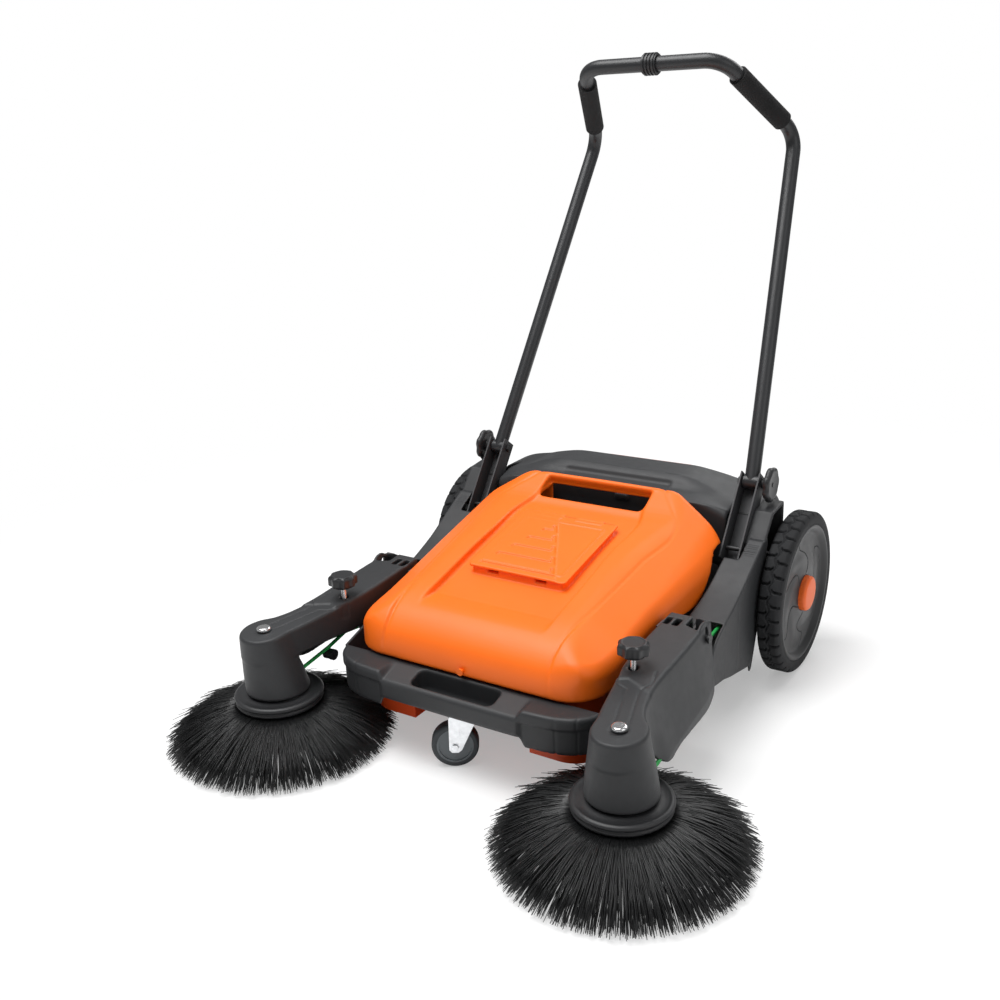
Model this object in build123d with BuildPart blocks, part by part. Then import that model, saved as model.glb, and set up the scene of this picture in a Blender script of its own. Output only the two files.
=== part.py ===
from build123d import *
from math import cos, radians, sin
import os

# Walk-behind push sweeper.
# Millimetres, +Z up. Dimensions are measured from the floor, the machine's mid-plane and the rear wheel axle,
# and each finished piece is then moved so that the origin is on the floor in the middle of the footprint.
# The front of the machine faces -Y, so +X is the right-hand side of someone looking at its front.
# Right-hand pieces are modelled, and left-hand pieces are their mirror images about the YZ plane.

os.makedirs("parts", exist_ok=True)

# ---------------------------------------------------------------- driving dimensions

running_gap = 0.05  # radial clearance of a pin or shaft that turns in its bore
wall = 3.5  # moulded plastic wall

# rear wheels
axle_height = 140.0
axle_radius = 8.0
wheel_radius = 140.0
tyre_inner_x = 302.0
tyre_outer_x = 342.0
rim_radius = 118.0
hub_radius = 22.0
hub_cap_radius = 30.5

# drive from the right wheel
gear_module = 2.0
gear_teeth = 60
pinion_teeth = 15
gear_backlash = 0.4
pinion_rise_angle = 20.0  # how far the countershaft sits above the wheel axle's level
countershaft_radius = 6.0
countershaft_pulley_radius = 18.0
belt_wheel_radius = 42.5
belt_wheel_x = 286.0
belt_radius = 3.0
belt_joint_swell = 0.15  # the round belt is a little thicker where its runs change direction

# main brush
brush_y = -185.0
brush_height = 112.0
brush_radius = 110.0
brush_half_length = 222.0
brush_core_radius = 30.0
brush_shaft_radius = 8.0
brush_pulley_radius = 22.0

# chassis
front_wall_outer_x = 234.0
front_wall_thickness = 4.0
rear_wall_outer_x = 262.0
chassis_front_y = -533.0
chassis_step_y = -300.0
chassis_rear_y = 95.0
deck_height = 200.0  # top of the chassis walls, where the rear cover sits
tunnel_inner_radius = 118.0
tunnel_outer_radius = 121.0
tunnel_half_width = 227.0

# front bumper
bumper_bottom = 80.0
bumper_top = 142.0
bumper_front_y = -588.0
bumper_step_x = 122.0

# caster
caster_y = -545.0
caster_trail = 14.0
caster_radius = 36.0
caster_half_width = 11.0
caster_heading = 33.5  # the wheel's axle points this far from -Y towards +X

# side brush and its arm
side_brush_x = 304.0
side_brush_y = -620.0
side_brush_radius = 186.0
side_disc_radius = 70.5
side_disc_top = 84.0
spindle_radius = 7.0
spindle_pulley_height = 112.0
arm_pivot_y = -349.0
arm_pivot_height = 195.0
arm_pin_radius = 4.0
arm_wall = 3.5
arm_top_at_nose = 192.0
arm_top_rise = 0.077  # how fast the arm's top climbs towards the rear
knob_x = 260.0
knob_y = -497.0
knob_shank_radius = 4.0

# hopper
tub_half_width = 205.0
tub_front_y = -528.0
tub_rear_y = -308.0
tub_bottom = 40.0
tub_top = 165.0
hopper_wall = 3.0
hatch_half_width = 89.0
hatch_front_y = -385.0
hatch_rear_y = -212.0
hatch_hinge_y = -205.0
hatch_hinge_height = 286.0
hatch_pin_radius = 2.0

# handle
handle_pivot = (250.5, -34.0, 336.3)
handle_bend = (196.4, 268.4, 881.8)
handle_corner = (128.0, 97.0, 1005.0)
crossbar_centre = (0.0, 97.0, 1005.0)
tube_radius = 12.5
tube_bore_radius = 11.0
grip_radius = 17.0
handle_bolt_radius = 4.0
bracket_foot = (250.5, -117.0, 224.0)

# the footprint runs from the front of the side brushes to the rearmost point of the handle's bends
handle_rear_y = 269.438
footprint_middle_y = (side_brush_y - side_brush_radius + handle_rear_y) / 2
to_footprint_middle = Location((0, -footprint_middle_y, 0))

# ---------------------------------------------------------------- shared planes and helpers

wheel_section = Plane(origin=(0, 0, axle_height), x_dir=(1, 0, 0), z_dir=(0, -1, 0))
wheel_axis = Axis((0, 0, axle_height), (1, 0, 0))


def side_plane(x):
    """A plane facing +X at this x, whose own x is the row's Y and whose own y is the row's Z."""
    return Plane(origin=(x, 0, 0), x_dir=(0, 1, 0), z_dir=(1, 0, 0))


def arc_band(centre, inner, outer, start, span):
    """The closed outline of a part of a ring, in the current sketch."""
    with BuildLine() as outline:
        low = CenterArc(centre, inner, start, span)
        high = CenterArc(centre, outer, start, span)
        Line(low @ 0, high @ 0)
        Line(low @ 1, high @ 1)
    return make_face(outline.edges())


def gear_outline(teeth, centre, first_tooth_angle):
    """Corner points of a straight-flanked spur gear with one tooth centred on first_tooth_angle."""
    pitch_radius = gear_module * teeth / 2
    flank = (
        (pitch_radius - 1.2 * gear_module, 0.34),
        (pitch_radius, 0.22),
        (pitch_radius + 0.9 * gear_module, 0.12),
    )
    pitch_angle = 360 / teeth
    points = []
    for tooth in range(teeth):
        middle = first_tooth_angle + tooth * pitch_angle
        rising = [(radius, middle - share * pitch_angle) for radius, share in flank]
        falling = [(radius, middle + share * pitch_angle) for radius, share in reversed(flank)]
        for radius, angle in rising + falling:
            y = centre[0] + radius * cos(radians(angle))
            z = centre[1] + radius * sin(radians(angle))
            points.append((y, z))
    return points


def along(start, end, share):
    """The point that lies this share of the way from start to end."""
    return tuple(a + share * (b - a) for a, b in zip(start, end))


# countershaft centre in the YZ plane: in front of the wheel axle and a little above it
gear_distance = gear_module * (gear_teeth + pinion_teeth) / 2 + gear_backlash
countershaft_y = -gear_distance * cos(radians(pinion_rise_angle))
countershaft_height = axle_height + gear_distance * sin(radians(pinion_rise_angle))
mesh_angle = 180 - pinion_rise_angle  # from the wheel axle towards the countershaft

# ---------------------------------------------------------------- rear wheels

with BuildPart() as tyre_right:
    with BuildSketch(wheel_section) as tyre_section:
        with Locations(((tyre_inner_x + tyre_outer_x) / 2, (rim_radius + wheel_radius) / 2)):
            Rectangle(tyre_outer_x - tyre_inner_x, wheel_radius - rim_radius)
        fillet(tyre_section.vertices().group_by(Axis.Y)[-1], radius=6)
        with Locations((322, wheel_radius)):
            Rectangle(3, 8, mode=Mode.SUBTRACT)
    revolve(axis=wheel_axis)
tyre_right.part.label = "tyre_right"
export_step(tyre_right.part.moved(to_footprint_middle), "parts/tyre_right.step")

with BuildPart() as tyre_left:
    mirror(tyre_right.part, about=Plane.YZ)
tyre_left.part.label = "tyre_left"
export_step(tyre_left.part.moved(to_footprint_middle), "parts/tyre_left.step")

# the rim's half section: hub sleeve, cap seat, dished face, tyre band, and the belt wheel on the inner side
rim_outline = [
    (264, axle_radius + running_gap),
    (328, axle_radius + running_gap),
    (328, 16),
    (335, 16),
    (335, hub_cap_radius + 0.1),
    (338, hub_cap_radius + 0.1),
    (338, 36),
    (336, 60),
    (331.5, 100),
    (332, 107),
    (339, 111),
    (341, rim_radius),
    (303, rim_radius),
    (303, 112),
    (328, 111),
    (327.5, 100),
    (332, 60),
    (331, 30),
    (331, hub_radius),
    (291, hub_radius),
    (291, belt_wheel_radius + 7),
    (289.5, belt_wheel_radius + 7),
    (289.5, belt_wheel_radius),
    (282.5, belt_wheel_radius),
    (282.5, belt_wheel_radius + 7),
    (281, belt_wheel_radius + 7),
    (281, hub_radius),
    (264, hub_radius),
]
with BuildPart() as rim_right:
    with BuildSketch(wheel_section):
        with BuildLine():
            Polyline(*rim_outline, close=True)
        make_face()
    revolve(axis=wheel_axis)
rim_right.part.label = "rim_right"
export_step(rim_right.part.moved(to_footprint_middle), "parts/rim_right.step")

with BuildPart() as rim_left:
    mirror(rim_right.part, about=Plane.YZ)
rim_left.part.label = "rim_left"
export_step(rim_left.part.moved(to_footprint_middle), "parts/rim_left.step")

with BuildPart() as hub_cap_right:
    with BuildSketch(side_plane(335.0)):
        with Locations((0, axle_height)):
            Circle(hub_cap_radius)
    extrude(amount=15)
    fillet(hub_cap_right.faces().sort_by(Axis.X)[-1].edges(), radius=4)
    with BuildSketch(side_plane(335.0)):
        with Locations((0, axle_height)):
            Circle(hub_cap_radius - wall)
    extrude(amount=11, mode=Mode.SUBTRACT)
hub_cap_right.part.label = "hub_cap_right"
export_step(hub_cap_right.part.moved(to_footprint_middle), "parts/hub_cap_right.step")

with BuildPart() as hub_cap_left:
    mirror(hub_cap_right.part, about=Plane.YZ)
hub_cap_left.part.label = "hub_cap_left"
export_step(hub_cap_left.part.moved(to_footprint_middle), "parts/hub_cap_left.step")

# the fixed axle, right through the machine, and the clip outside each wheel hub
with BuildPart() as wheel_axle:
    with BuildSketch(side_plane(0)):
        with Locations((0, axle_height)):
            Circle(axle_radius)
    extrude(amount=333, both=True)
wheel_axle.part.label = "wheel_axle"
export_step(wheel_axle.part.moved(to_footprint_middle), "parts/wheel_axle.step")

with BuildPart() as axle_clips:
    with BuildSketch(side_plane(328.4)):
        with Locations((0, axle_height)):
            Circle(14)
            Circle(axle_radius, mode=Mode.SUBTRACT)
            with Locations((0, 10)):
                Rectangle(7, 14, mode=Mode.SUBTRACT)
    extrude(amount=2)
    mirror(about=Plane.YZ)
axle_clips.part.label = "axle_clips"
export_step(axle_clips.part.moved(to_footprint_middle), "parts/axle_clips.step")

# ---------------------------------------------------------------- drive train

with BuildPart() as wheel_gear:
    with BuildSketch(side_plane(265)):
        with BuildLine():
            Polyline(*gear_outline(gear_teeth, (0, axle_height), mesh_angle), close=True)
        make_face()
        with Locations((0, axle_height)):
            Circle(hub_radius, mode=Mode.SUBTRACT)
            with PolarLocations(40, 6):
                Circle(12, mode=Mode.SUBTRACT)
    extrude(amount=10)
wheel_gear.part.label = "wheel_gear"
export_step(wheel_gear.part.moved(to_footprint_middle), "parts/wheel_gear.step")

# shaft, pinion and belt pulley turn as one piece, with a gap of the pinion facing the wheel gear
pinion_tooth_angle = mesh_angle + 180 + 360 / pinion_teeth / 2
countershaft_centre = (countershaft_y, countershaft_height)
with BuildPart() as countershaft:
    with BuildSketch(side_plane(236)):
        with Locations(countershaft_centre):
            Circle(countershaft_radius)
    extrude(amount=42.3)
    with BuildSketch(side_plane(264.5)):
        with BuildLine():
            Polyline(*gear_outline(pinion_teeth, countershaft_centre, pinion_tooth_angle), close=True)
        make_face()
    extrude(amount=11)
    with BuildSketch(side_plane(238)):
        with Locations(countershaft_centre):
            Circle(countershaft_pulley_radius)
    extrude(amount=12)
countershaft.part.label = "countershaft"
export_step(countershaft.part.moved(to_footprint_middle), "parts/countershaft.step")

with BuildPart() as gear_cover:
    with BuildSketch(side_plane(rear_wall_outer_x + 0.2)):
        with Locations((0, axle_height)):
            Circle(68)
        with Locations(countershaft_centre):
            Circle(24)
        make_hull()
    extrude(amount=16.3)
    with BuildSketch(side_plane(rear_wall_outer_x)):
        with Locations((0, axle_height)):
            Circle(65)
        with Locations(countershaft_centre):
            Circle(21)
        make_hull()
    extrude(amount=14.3, mode=Mode.SUBTRACT)
    with BuildSketch(side_plane(rear_wall_outer_x)):
        with Locations((0, axle_height)):
            Circle(hub_radius + 3)
        with Locations(countershaft_centre):
            Circle(countershaft_radius + running_gap)
    extrude(amount=30, mode=Mode.SUBTRACT)
gear_cover.part.label = "gear_cover"
export_step(gear_cover.part.moved(to_footprint_middle), "parts/gear_cover.step")

# flat belt from the countershaft pulley to the main brush pulley
with BuildPart() as drive_belt:
    with BuildSketch(side_plane(240)):
        with Locations(countershaft_centre):
            Circle(countershaft_pulley_radius + 3)
        with Locations((brush_y, brush_height)):
            Circle(brush_pulley_radius + 3)
        make_hull()
    extrude(amount=8)
    with BuildSketch(side_plane(240)):
        with Locations(countershaft_centre):
            Circle(countershaft_pulley_radius + 0.3)
        with Locations((brush_y, brush_height)):
            Circle(brush_pulley_radius + 0.3)
        make_hull()
    extrude(amount=8, mode=Mode.SUBTRACT)
drive_belt.part.label = "drive_belt"
export_step(drive_belt.part.moved(to_footprint_middle), "parts/drive_belt.step")

# ---------------------------------------------------------------- main brush

with BuildPart() as main_brush_core:
    with BuildSketch(side_plane(0)):
        with Locations((brush_y, brush_height)):
            Circle(brush_core_radius)
    extrude(amount=brush_half_length, both=True)
    with BuildSketch(side_plane(0)):
        with Locations((brush_y, brush_height)):
            Circle(brush_shaft_radius)
    extrude(amount=261, both=True)
    with BuildSketch(side_plane(238)):
        with Locations((brush_y, brush_height)):
            Circle(brush_pulley_radius)
    extrude(amount=12)
main_brush_core.part.label = "main_brush_core"
export_step(main_brush_core.part.moved(to_footprint_middle), "parts/main_brush_core.step")

# straight rows of bristles set in the core
with BuildPart() as main_brush_bristles:
    with BuildSketch(side_plane(0)):
        with Locations((brush_y, brush_height)):
            with PolarLocations((brush_core_radius + brush_radius) / 2, 8):
                Rectangle(brush_radius - brush_core_radius, 16)
            Circle(brush_core_radius + 4)
            Circle(brush_core_radius, mode=Mode.SUBTRACT)
    extrude(amount=brush_half_length - 4, both=True)
main_brush_bristles.part.label = "main_brush_bristles"
export_step(main_brush_bristles.part.moved(to_footprint_middle), "parts/main_brush_bristles.step")

bush_radius = 14.0
with BuildPart() as brush_bearings:
    with BuildSketch(side_plane(251)):
        with Locations((brush_y, brush_height)):
            Circle(bush_radius)
            Circle(brush_shaft_radius + running_gap, mode=Mode.SUBTRACT)
    extrude(amount=11)
    with BuildSketch(side_plane(251)):
        with Locations((brush_y, brush_height)):
            Circle(bush_radius + 5)
            Circle(brush_shaft_radius + running_gap, mode=Mode.SUBTRACT)
    extrude(amount=3)
    mirror(about=Plane.YZ)
brush_bearings.part.label = "brush_bearings"
export_step(brush_bearings.part.moved(to_footprint_middle), "parts/brush_bearings.step")

# ---------------------------------------------------------------- chassis

front_wall_inner_x = front_wall_outer_x - front_wall_thickness
rear_wall_inner_x = rear_wall_outer_x - 4
rear_wall_outline = [
    (chassis_step_y, 60),
    (chassis_step_y, 176),
    (-204, 188),
    (-150, deck_height),
    (chassis_rear_y, deck_height),
    (chassis_rear_y, 110),
    (60, 85),
    (-60, 60),
]
with BuildPart() as chassis_shell:
    # outer side wall beside the brush and the wheel
    with BuildSketch(side_plane(rear_wall_inner_x)):
        with BuildLine():
            Polyline(*rear_wall_outline, close=True)
        make_face()
    extrude(amount=4)
    # narrower side wall beside the hopper, with an ear for the brush arm's pin
    with BuildSketch(side_plane(front_wall_inner_x)):
        with BuildLine():
            Polyline(
                (chassis_front_y, 60),
                (chassis_front_y, 140),
                (-440, 170),
                (chassis_step_y, 172),
                (chassis_step_y, 60),
                close=True,
            )
        make_face()
        with Locations((arm_pivot_y, arm_pivot_height - 8)):
            Rectangle(24, 34)
    extrude(amount=front_wall_thickness)
    # step between the two walls
    with Locations(((front_wall_inner_x + rear_wall_outer_x) / 2, chassis_step_y, 118)):
        Box(rear_wall_outer_x - front_wall_inner_x, 4, 116)
    # boss that carries the countershaft
    with BuildSketch(side_plane(252.5)):
        with Locations(countershaft_centre):
            Circle(13)
    extrude(amount=8)
    mirror(about=Plane.YZ)
    # tunnel over the main brush, closed at its ends
    with BuildSketch(side_plane(0)):
        arc_band((brush_y, brush_height), tunnel_inner_radius, tunnel_outer_radius, -20, 155)
    extrude(amount=tunnel_half_width, both=True)
    for end_x in (tunnel_half_width - 4, -tunnel_half_width):
        with BuildSketch(side_plane(end_x)):
            arc_band((brush_y, brush_height), 16, tunnel_outer_radius, -20, 155)
        extrude(amount=4)
    # rear bulkhead behind the tunnel, and the rear wall
    with Locations((0, -63, 130)):
        Box(2 * rear_wall_inner_x, 6, 140)
    with Locations((0, -63, 237)):
        Box(2 * 224, 6, 76)
    with Locations((0, chassis_rear_y - 2, 155)):
        Box(2 * rear_wall_inner_x, 4, 90)
    for side in (1, -1):
        with Locations((side * 246, -63, 165)):
            Box(26, 8, 70, mode=Mode.SUBTRACT)
    # bores for the axle, the countershaft, the brush bearings and the arm pins
    with BuildSketch(side_plane(0)):
        with Locations((0, axle_height)):
            Circle(axle_radius + 0.02)
        with Locations(countershaft_centre):
            Circle(countershaft_radius + running_gap)
        with Locations((brush_y, brush_height)):
            Circle(bush_radius + 0.02)
        with Locations((arm_pivot_y, arm_pivot_height)):
            Circle(arm_pin_radius + 0.02)
    extrude(amount=400, both=True, mode=Mode.SUBTRACT)
chassis_shell.part.label = "chassis_shell"
export_step(chassis_shell.part.moved(to_footprint_middle), "parts/chassis_shell.step")

# ---------------------------------------------------------------- front bumper

bumper_plan = [
    (0, bumper_front_y),
    (bumper_step_x, bumper_front_y + 2),
    (178, -581),
    (205, -571),
    (224, -552),
    (front_wall_outer_x, chassis_front_y),
    (0, chassis_front_y),
]
with BuildPart() as front_bumper:
    with BuildSketch(Plane.XY.offset(bumper_bottom)):
        with BuildLine():
            Polyline(*bumper_plan, close=True)
        make_face()
        mirror(about=Plane.YZ)
    extrude(amount=bumper_top - bumper_bottom)
    # hollow the two side blocks from below
    for side in (1, -1):
        with BuildSketch(Plane.XY.offset(bumper_bottom)):
            with BuildLine():
                Polyline(
                    (side * 128, -580),
                    (side * 176, -576),
                    (side * 202, -566),
                    (side * 218, -549),
                    (side * 224, -538),
                    (side * 128, -538),
                    close=True,
                )
            make_face()
        extrude(amount=bumper_top - bumper_bottom - 4, mode=Mode.SUBTRACT)
    # the hand rail between them is lower on top and higher underneath
    with Locations((0, -570, bumper_bottom)):
        Box(2 * bumper_step_x, 80, 34, mode=Mode.SUBTRACT)
    with Locations((0, bumper_front_y, bumper_top)):
        Box(2 * bumper_step_x, 70, 22, mode=Mode.SUBTRACT)
    # floor that carries the caster, in front of and behind the hand slot
    with BuildSketch(Plane.XY.offset(97)):
        with Locations((0, -544)):
            RectangleRounded(76, 72, 8)
    extrude(amount=5)
    with BuildSketch(Plane.XY.offset(102)):
        with Locations((0, -559)):
            RectangleRounded(144, 34, 10)
    extrude(amount=60, mode=Mode.SUBTRACT)
front_bumper.part.label = "front_bumper"
export_step(front_bumper.part.moved(to_footprint_middle), "parts/front_bumper.step")

# ---------------------------------------------------------------- side skirts and rear cover

skirt_outline = [
    (-322, 96),
    (-306, 150),
    (-279, 173),
    (-251, 184),
    (-203, 204),
    (-150, 236),
    (-103, 262),
    (-84, 264),
    (-84, 120),
    (-110, 62),
    (-142, 49),
    (-150, 56),
]
with BuildPart() as side_skirt_right:
    with BuildSketch(side_plane(rear_wall_outer_x)):
        with BuildLine():
            Polyline(*skirt_outline, close=True)
        make_face()
    extrude(amount=38)
    # open at the front, the rear and below, so that only the outer wall and the top rail remain
    with BuildSketch(side_plane(rear_wall_outer_x)):
        with BuildLine():
            Polyline(
                (-330, 40),
                (-330, 100),
                (-309, 143),
                (-281, 168),
                (-252, 179),
                (-205, 199),
                (-152, 231),
                (-104, 257),
                (-80, 259),
                (-80, 40),
                close=True,
            )
        make_face()
    extrude(amount=34.5, mode=Mode.SUBTRACT)
    # the rail stops short of the front, where the belt passes into the brush arm
    with Locations((rear_wall_outer_x + 17.25, -296, 155)):
        Box(34.5, 68, 70, mode=Mode.SUBTRACT)
    # slot in the rail for the foot of the handle bracket
    with Locations((251, -112, 245)):
        Box(44, 56, 76, mode=Mode.SUBTRACT)
side_skirt_right.part.label = "side_skirt_right"
export_step(side_skirt_right.part.moved(to_footprint_middle), "parts/side_skirt_right.step")

with BuildPart() as side_skirt_left:
    mirror(side_skirt_right.part, about=Plane.YZ)
side_skirt_left.part.label = "side_skirt_left"
export_step(side_skirt_left.part.moved(to_footprint_middle), "parts/side_skirt_left.step")

cover_front_y = -84.0
cover_side_outline = [
    (cover_front_y, deck_height),
    (cover_front_y, 306),
    (-42, 306),
    (-22, 330),
    (45, 330),
    (72, 306),
    (chassis_rear_y, 250),
    (chassis_rear_y, deck_height),
]
with BuildPart() as rear_cover:
    with BuildSketch(side_plane(0)):
        with BuildLine():
            Polyline(*cover_side_outline, close=True)
        make_face()
    extrude(amount=rear_wall_outer_x, both=True)
    with BuildSketch(Plane.XZ.offset(-chassis_rear_y)):
        with BuildLine():
            Polyline(
                (-262, deck_height),
                (-262, 268),
                (-240, 284),
                (-184, 312),
                (-112, 331),
                (112, 331),
                (184, 312),
                (240, 284),
                (262, 268),
                (262, deck_height),
                close=True,
            )
        make_face()
    extrude(amount=chassis_rear_y - cover_front_y, mode=Mode.INTERSECT)
    # the corners in front of the wheels stay clear for the handle brackets
    for side in (1, -1):
        with Locations((side * 247, -50, 270)):
            Box(42, 84, 160, mode=Mode.SUBTRACT)
    with BuildSketch(side_plane(0)):
        with BuildLine():
            Polyline(
                (cover_front_y + 4, deck_height - 5),
                (cover_front_y + 4, 302),
                (-40, 302),
                (-20, 326),
                (43, 326),
                (69, 303),
                (chassis_rear_y - 4, 249),
                (chassis_rear_y - 4, deck_height - 5),
                close=True,
            )
        make_face()
    extrude(amount=112, both=True, mode=Mode.SUBTRACT)
    for low_x, high_x, front, top in ((110, 182, -80, 300), (180, 228, -80, 278), (226, 258, -4, 262)):
        for side in (1, -1):
            with Locations((side * (low_x + high_x) / 2, (front + 60) / 2, (top + 190) / 2)):
                Box(high_x - low_x, 60 - front, top - 190, mode=Mode.SUBTRACT)
rear_cover.part.label = "rear_cover"
export_step(rear_cover.part.moved(to_footprint_middle), "parts/rear_cover.step")

# orange panel that closes the back of the machine
with BuildPart() as rear_panel:
    with BuildSketch(Plane.XZ.offset(-chassis_rear_y - 0.2)):
        with Locations((0, 232)):
            RectangleRounded(200, 150, 18)
    extrude(amount=-6)
rear_panel.part.label = "rear_panel"
export_step(rear_panel.part.moved(to_footprint_middle), "parts/rear_panel.step")

with BuildPart() as rear_flap:
    with Locations((0, -57.4, 62)):
        Box(2 * tunnel_half_width, 5, 110)
rear_flap.part.label = "rear_flap"
export_step(rear_flap.part.moved(to_footprint_middle), "parts/rear_flap.step")

# ---------------------------------------------------------------- handle brackets and their fasteners

# the channel runs from the chassis up to the handle's pivot, square to the X axis
bracket_dy = handle_pivot[1] - bracket_foot[1]
bracket_dz = handle_pivot[2] - bracket_foot[2]
bracket_length = (bracket_dy**2 + bracket_dz**2) ** 0.5
bracket_frame = Plane(
    origin=bracket_foot,
    x_dir=(1, 0, 0),
    z_dir=(0, bracket_dy / bracket_length, bracket_dz / bracket_length),
)
bracket_gap = 29.0
bracket_plate = 2.5
bracket_depth = 34.0
bracket_bolt_at = (-57.5 + 7, 288.6 - 5)
bracket_screw_at = (-104.0, 241.5)
with BuildPart() as handle_brackets:
    with BuildSketch(bracket_frame):
        Rectangle(bracket_gap + 2 * bracket_plate, bracket_depth)
        with Locations((0, -bracket_plate)):
            Rectangle(bracket_gap, bracket_depth, mode=Mode.SUBTRACT)
    extrude(amount=bracket_length + 12)
    mirror(about=Plane.YZ)
    with BuildSketch(side_plane(0)):
        with Locations(handle_pivot[1:], bracket_bolt_at, bracket_screw_at):
            Circle(handle_bolt_radius + running_gap)
    extrude(amount=300, both=True, mode=Mode.SUBTRACT)
handle_brackets.part.label = "handle_brackets"
export_step(handle_brackets.part.moved(to_footprint_middle), "parts/handle_brackets.step")

# screws through the brackets into the skirts, and the bolts that hold the lower tubes in the channels
with BuildPart() as bracket_bolts:
    for centre, reach in ((bracket_bolt_at, 272), (bracket_screw_at, 296.4)):
        with BuildSketch(side_plane(232)):
            with Locations(centre):
                Circle(handle_bolt_radius)
        extrude(amount=reach - 232)
        with BuildSketch(side_plane(228)):
            with Locations(centre):
                RegularPolygon(8, 6)
        extrude(amount=5)
    mirror(about=Plane.YZ)
bracket_bolts.part.label = "bracket_bolts"
export_step(bracket_bolts.part.moved(to_footprint_middle), "parts/bracket_bolts.step")

with BuildPart() as handle_pivot_bolts:
    with BuildSketch(side_plane(232)):
        with Locations(handle_pivot[1:]):
            Circle(handle_bolt_radius)
    extrude(amount=56)
    with BuildSketch(side_plane(228)):
        with Locations(handle_pivot[1:]):
            RegularPolygon(8, 6)
    extrude(amount=5)
    mirror(about=Plane.YZ)
handle_pivot_bolts.part.label = "handle_pivot_bolts"
export_step(handle_pivot_bolts.part.moved(to_footprint_middle), "parts/handle_pivot_bolts.step")

# ---------------------------------------------------------------- handle

tube_joint = along(handle_pivot, handle_bend, 0.85)
with BuildPart() as handle_tube_right:
    with BuildLine() as lower_axis:
        Line(handle_pivot, tube_joint)
    with BuildSketch(Plane(origin=handle_pivot, z_dir=lower_axis.wire() % 0)):
        Circle(tube_radius)
    sweep(path=lower_axis.wire())
    with BuildSketch(side_plane(handle_pivot[0])):
        with Locations(handle_pivot[1:]):
            Circle(tube_radius)
    extrude(amount=tube_radius, both=True)
    # the tube is open above the solid foot
    foot_top = along(handle_pivot, tube_joint, 0.06)
    with BuildLine() as lower_bore:
        Line(foot_top, tube_joint)
    with BuildSketch(Plane(origin=foot_top, z_dir=lower_bore.wire() % 0)):
        Circle(tube_bore_radius)
    sweep(path=lower_bore.wire(), mode=Mode.SUBTRACT)
    with BuildSketch(side_plane(0)):
        with Locations(handle_pivot[1:]):
            Circle(handle_bolt_radius + running_gap)
    extrude(amount=300, mode=Mode.SUBTRACT)
handle_tube_right.part.label = "handle_tube_right"
export_step(handle_tube_right.part.moved(to_footprint_middle), "parts/handle_tube_right.step")

with BuildPart() as handle_tube_left:
    mirror(handle_tube_right.part, about=Plane.YZ)
handle_tube_left.part.label = "handle_tube_left"
export_step(handle_tube_left.part.moved(to_footprint_middle), "parts/handle_tube_left.step")


def bar_half(first_share, bend_length):
    """Centre line of the right half of the upper bar, from below the bend to the crossbar's middle."""
    start = Vector(*along(handle_pivot, handle_bend, first_share))
    bend = Vector(*handle_bend)
    corner = Vector(*handle_corner)
    middle = Vector(*crossbar_centre)

    def leg_ends(before, at, after):
        """Where a bend at this corner starts and ends."""
        return at + (before - at).normalized() * bend_length, at + (after - at).normalized() * bend_length

    bend_in, bend_out = leg_ends(start, bend, corner)
    corner_in, corner_out = leg_ends(bend, corner, middle)
    with BuildLine() as centre_line:
        Line(start, bend_in)
        TangentArc(bend_in, bend_out, tangent=bend - start)
        Line(bend_out, corner_in)
        TangentArc(corner_in, corner_out, tangent=corner - bend)
        Line(corner_out, middle)
    return centre_line.wire()


upper_axis = bar_half(0.85, 34)
with BuildPart() as handle_bar:
    with BuildSketch(Plane(origin=upper_axis @ 0, z_dir=upper_axis % 0)):
        Circle(tube_radius)
        Circle(tube_bore_radius, mode=Mode.SUBTRACT)
    sweep(path=upper_axis)
    mirror(about=Plane.YZ)
handle_bar.part.label = "handle_bar"
export_step(handle_bar.part.moved(to_footprint_middle), "parts/handle_bar.step")

with BuildPart() as bar_collar:
    with BuildSketch(Plane.YZ.offset(-13)):
        with Locations(crossbar_centre[1:]):
            Circle(16.5)
            Circle(tube_radius + 1.2, mode=Mode.SUBTRACT)
    extrude(amount=26)
    for rib_x in (-9, -3, 3, 9):
        with BuildSketch(Plane.YZ.offset(rib_x - 1.2)):
            with Locations(crossbar_centre[1:]):
                Circle(18.5)
                Circle(16, mode=Mode.SUBTRACT)
        extrude(amount=2.4)
bar_collar.part.label = "bar_collar"
export_step(bar_collar.part.moved(to_footprint_middle), "parts/bar_collar.step")

grip_low = along(handle_bend, handle_corner, 0.19)
grip_high = along(handle_bend, handle_corner, 0.80)
with BuildPart() as grip_right:
    with BuildLine() as grip_axis:
        Line(grip_low, grip_high)
    with BuildSketch(Plane(origin=grip_low, z_dir=grip_axis.wire() % 0)):
        Circle(grip_radius)
        Circle(tube_radius + 0.02, mode=Mode.SUBTRACT)
    sweep(path=grip_axis.wire())
grip_right.part.label = "grip_right"
export_step(grip_right.part.moved(to_footprint_middle), "parts/grip_right.step")

with BuildPart() as grip_left:
    mirror(grip_right.part, about=Plane.YZ)
grip_left.part.label = "grip_left"
export_step(grip_left.part.moved(to_footprint_middle), "parts/grip_left.step")

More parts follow.
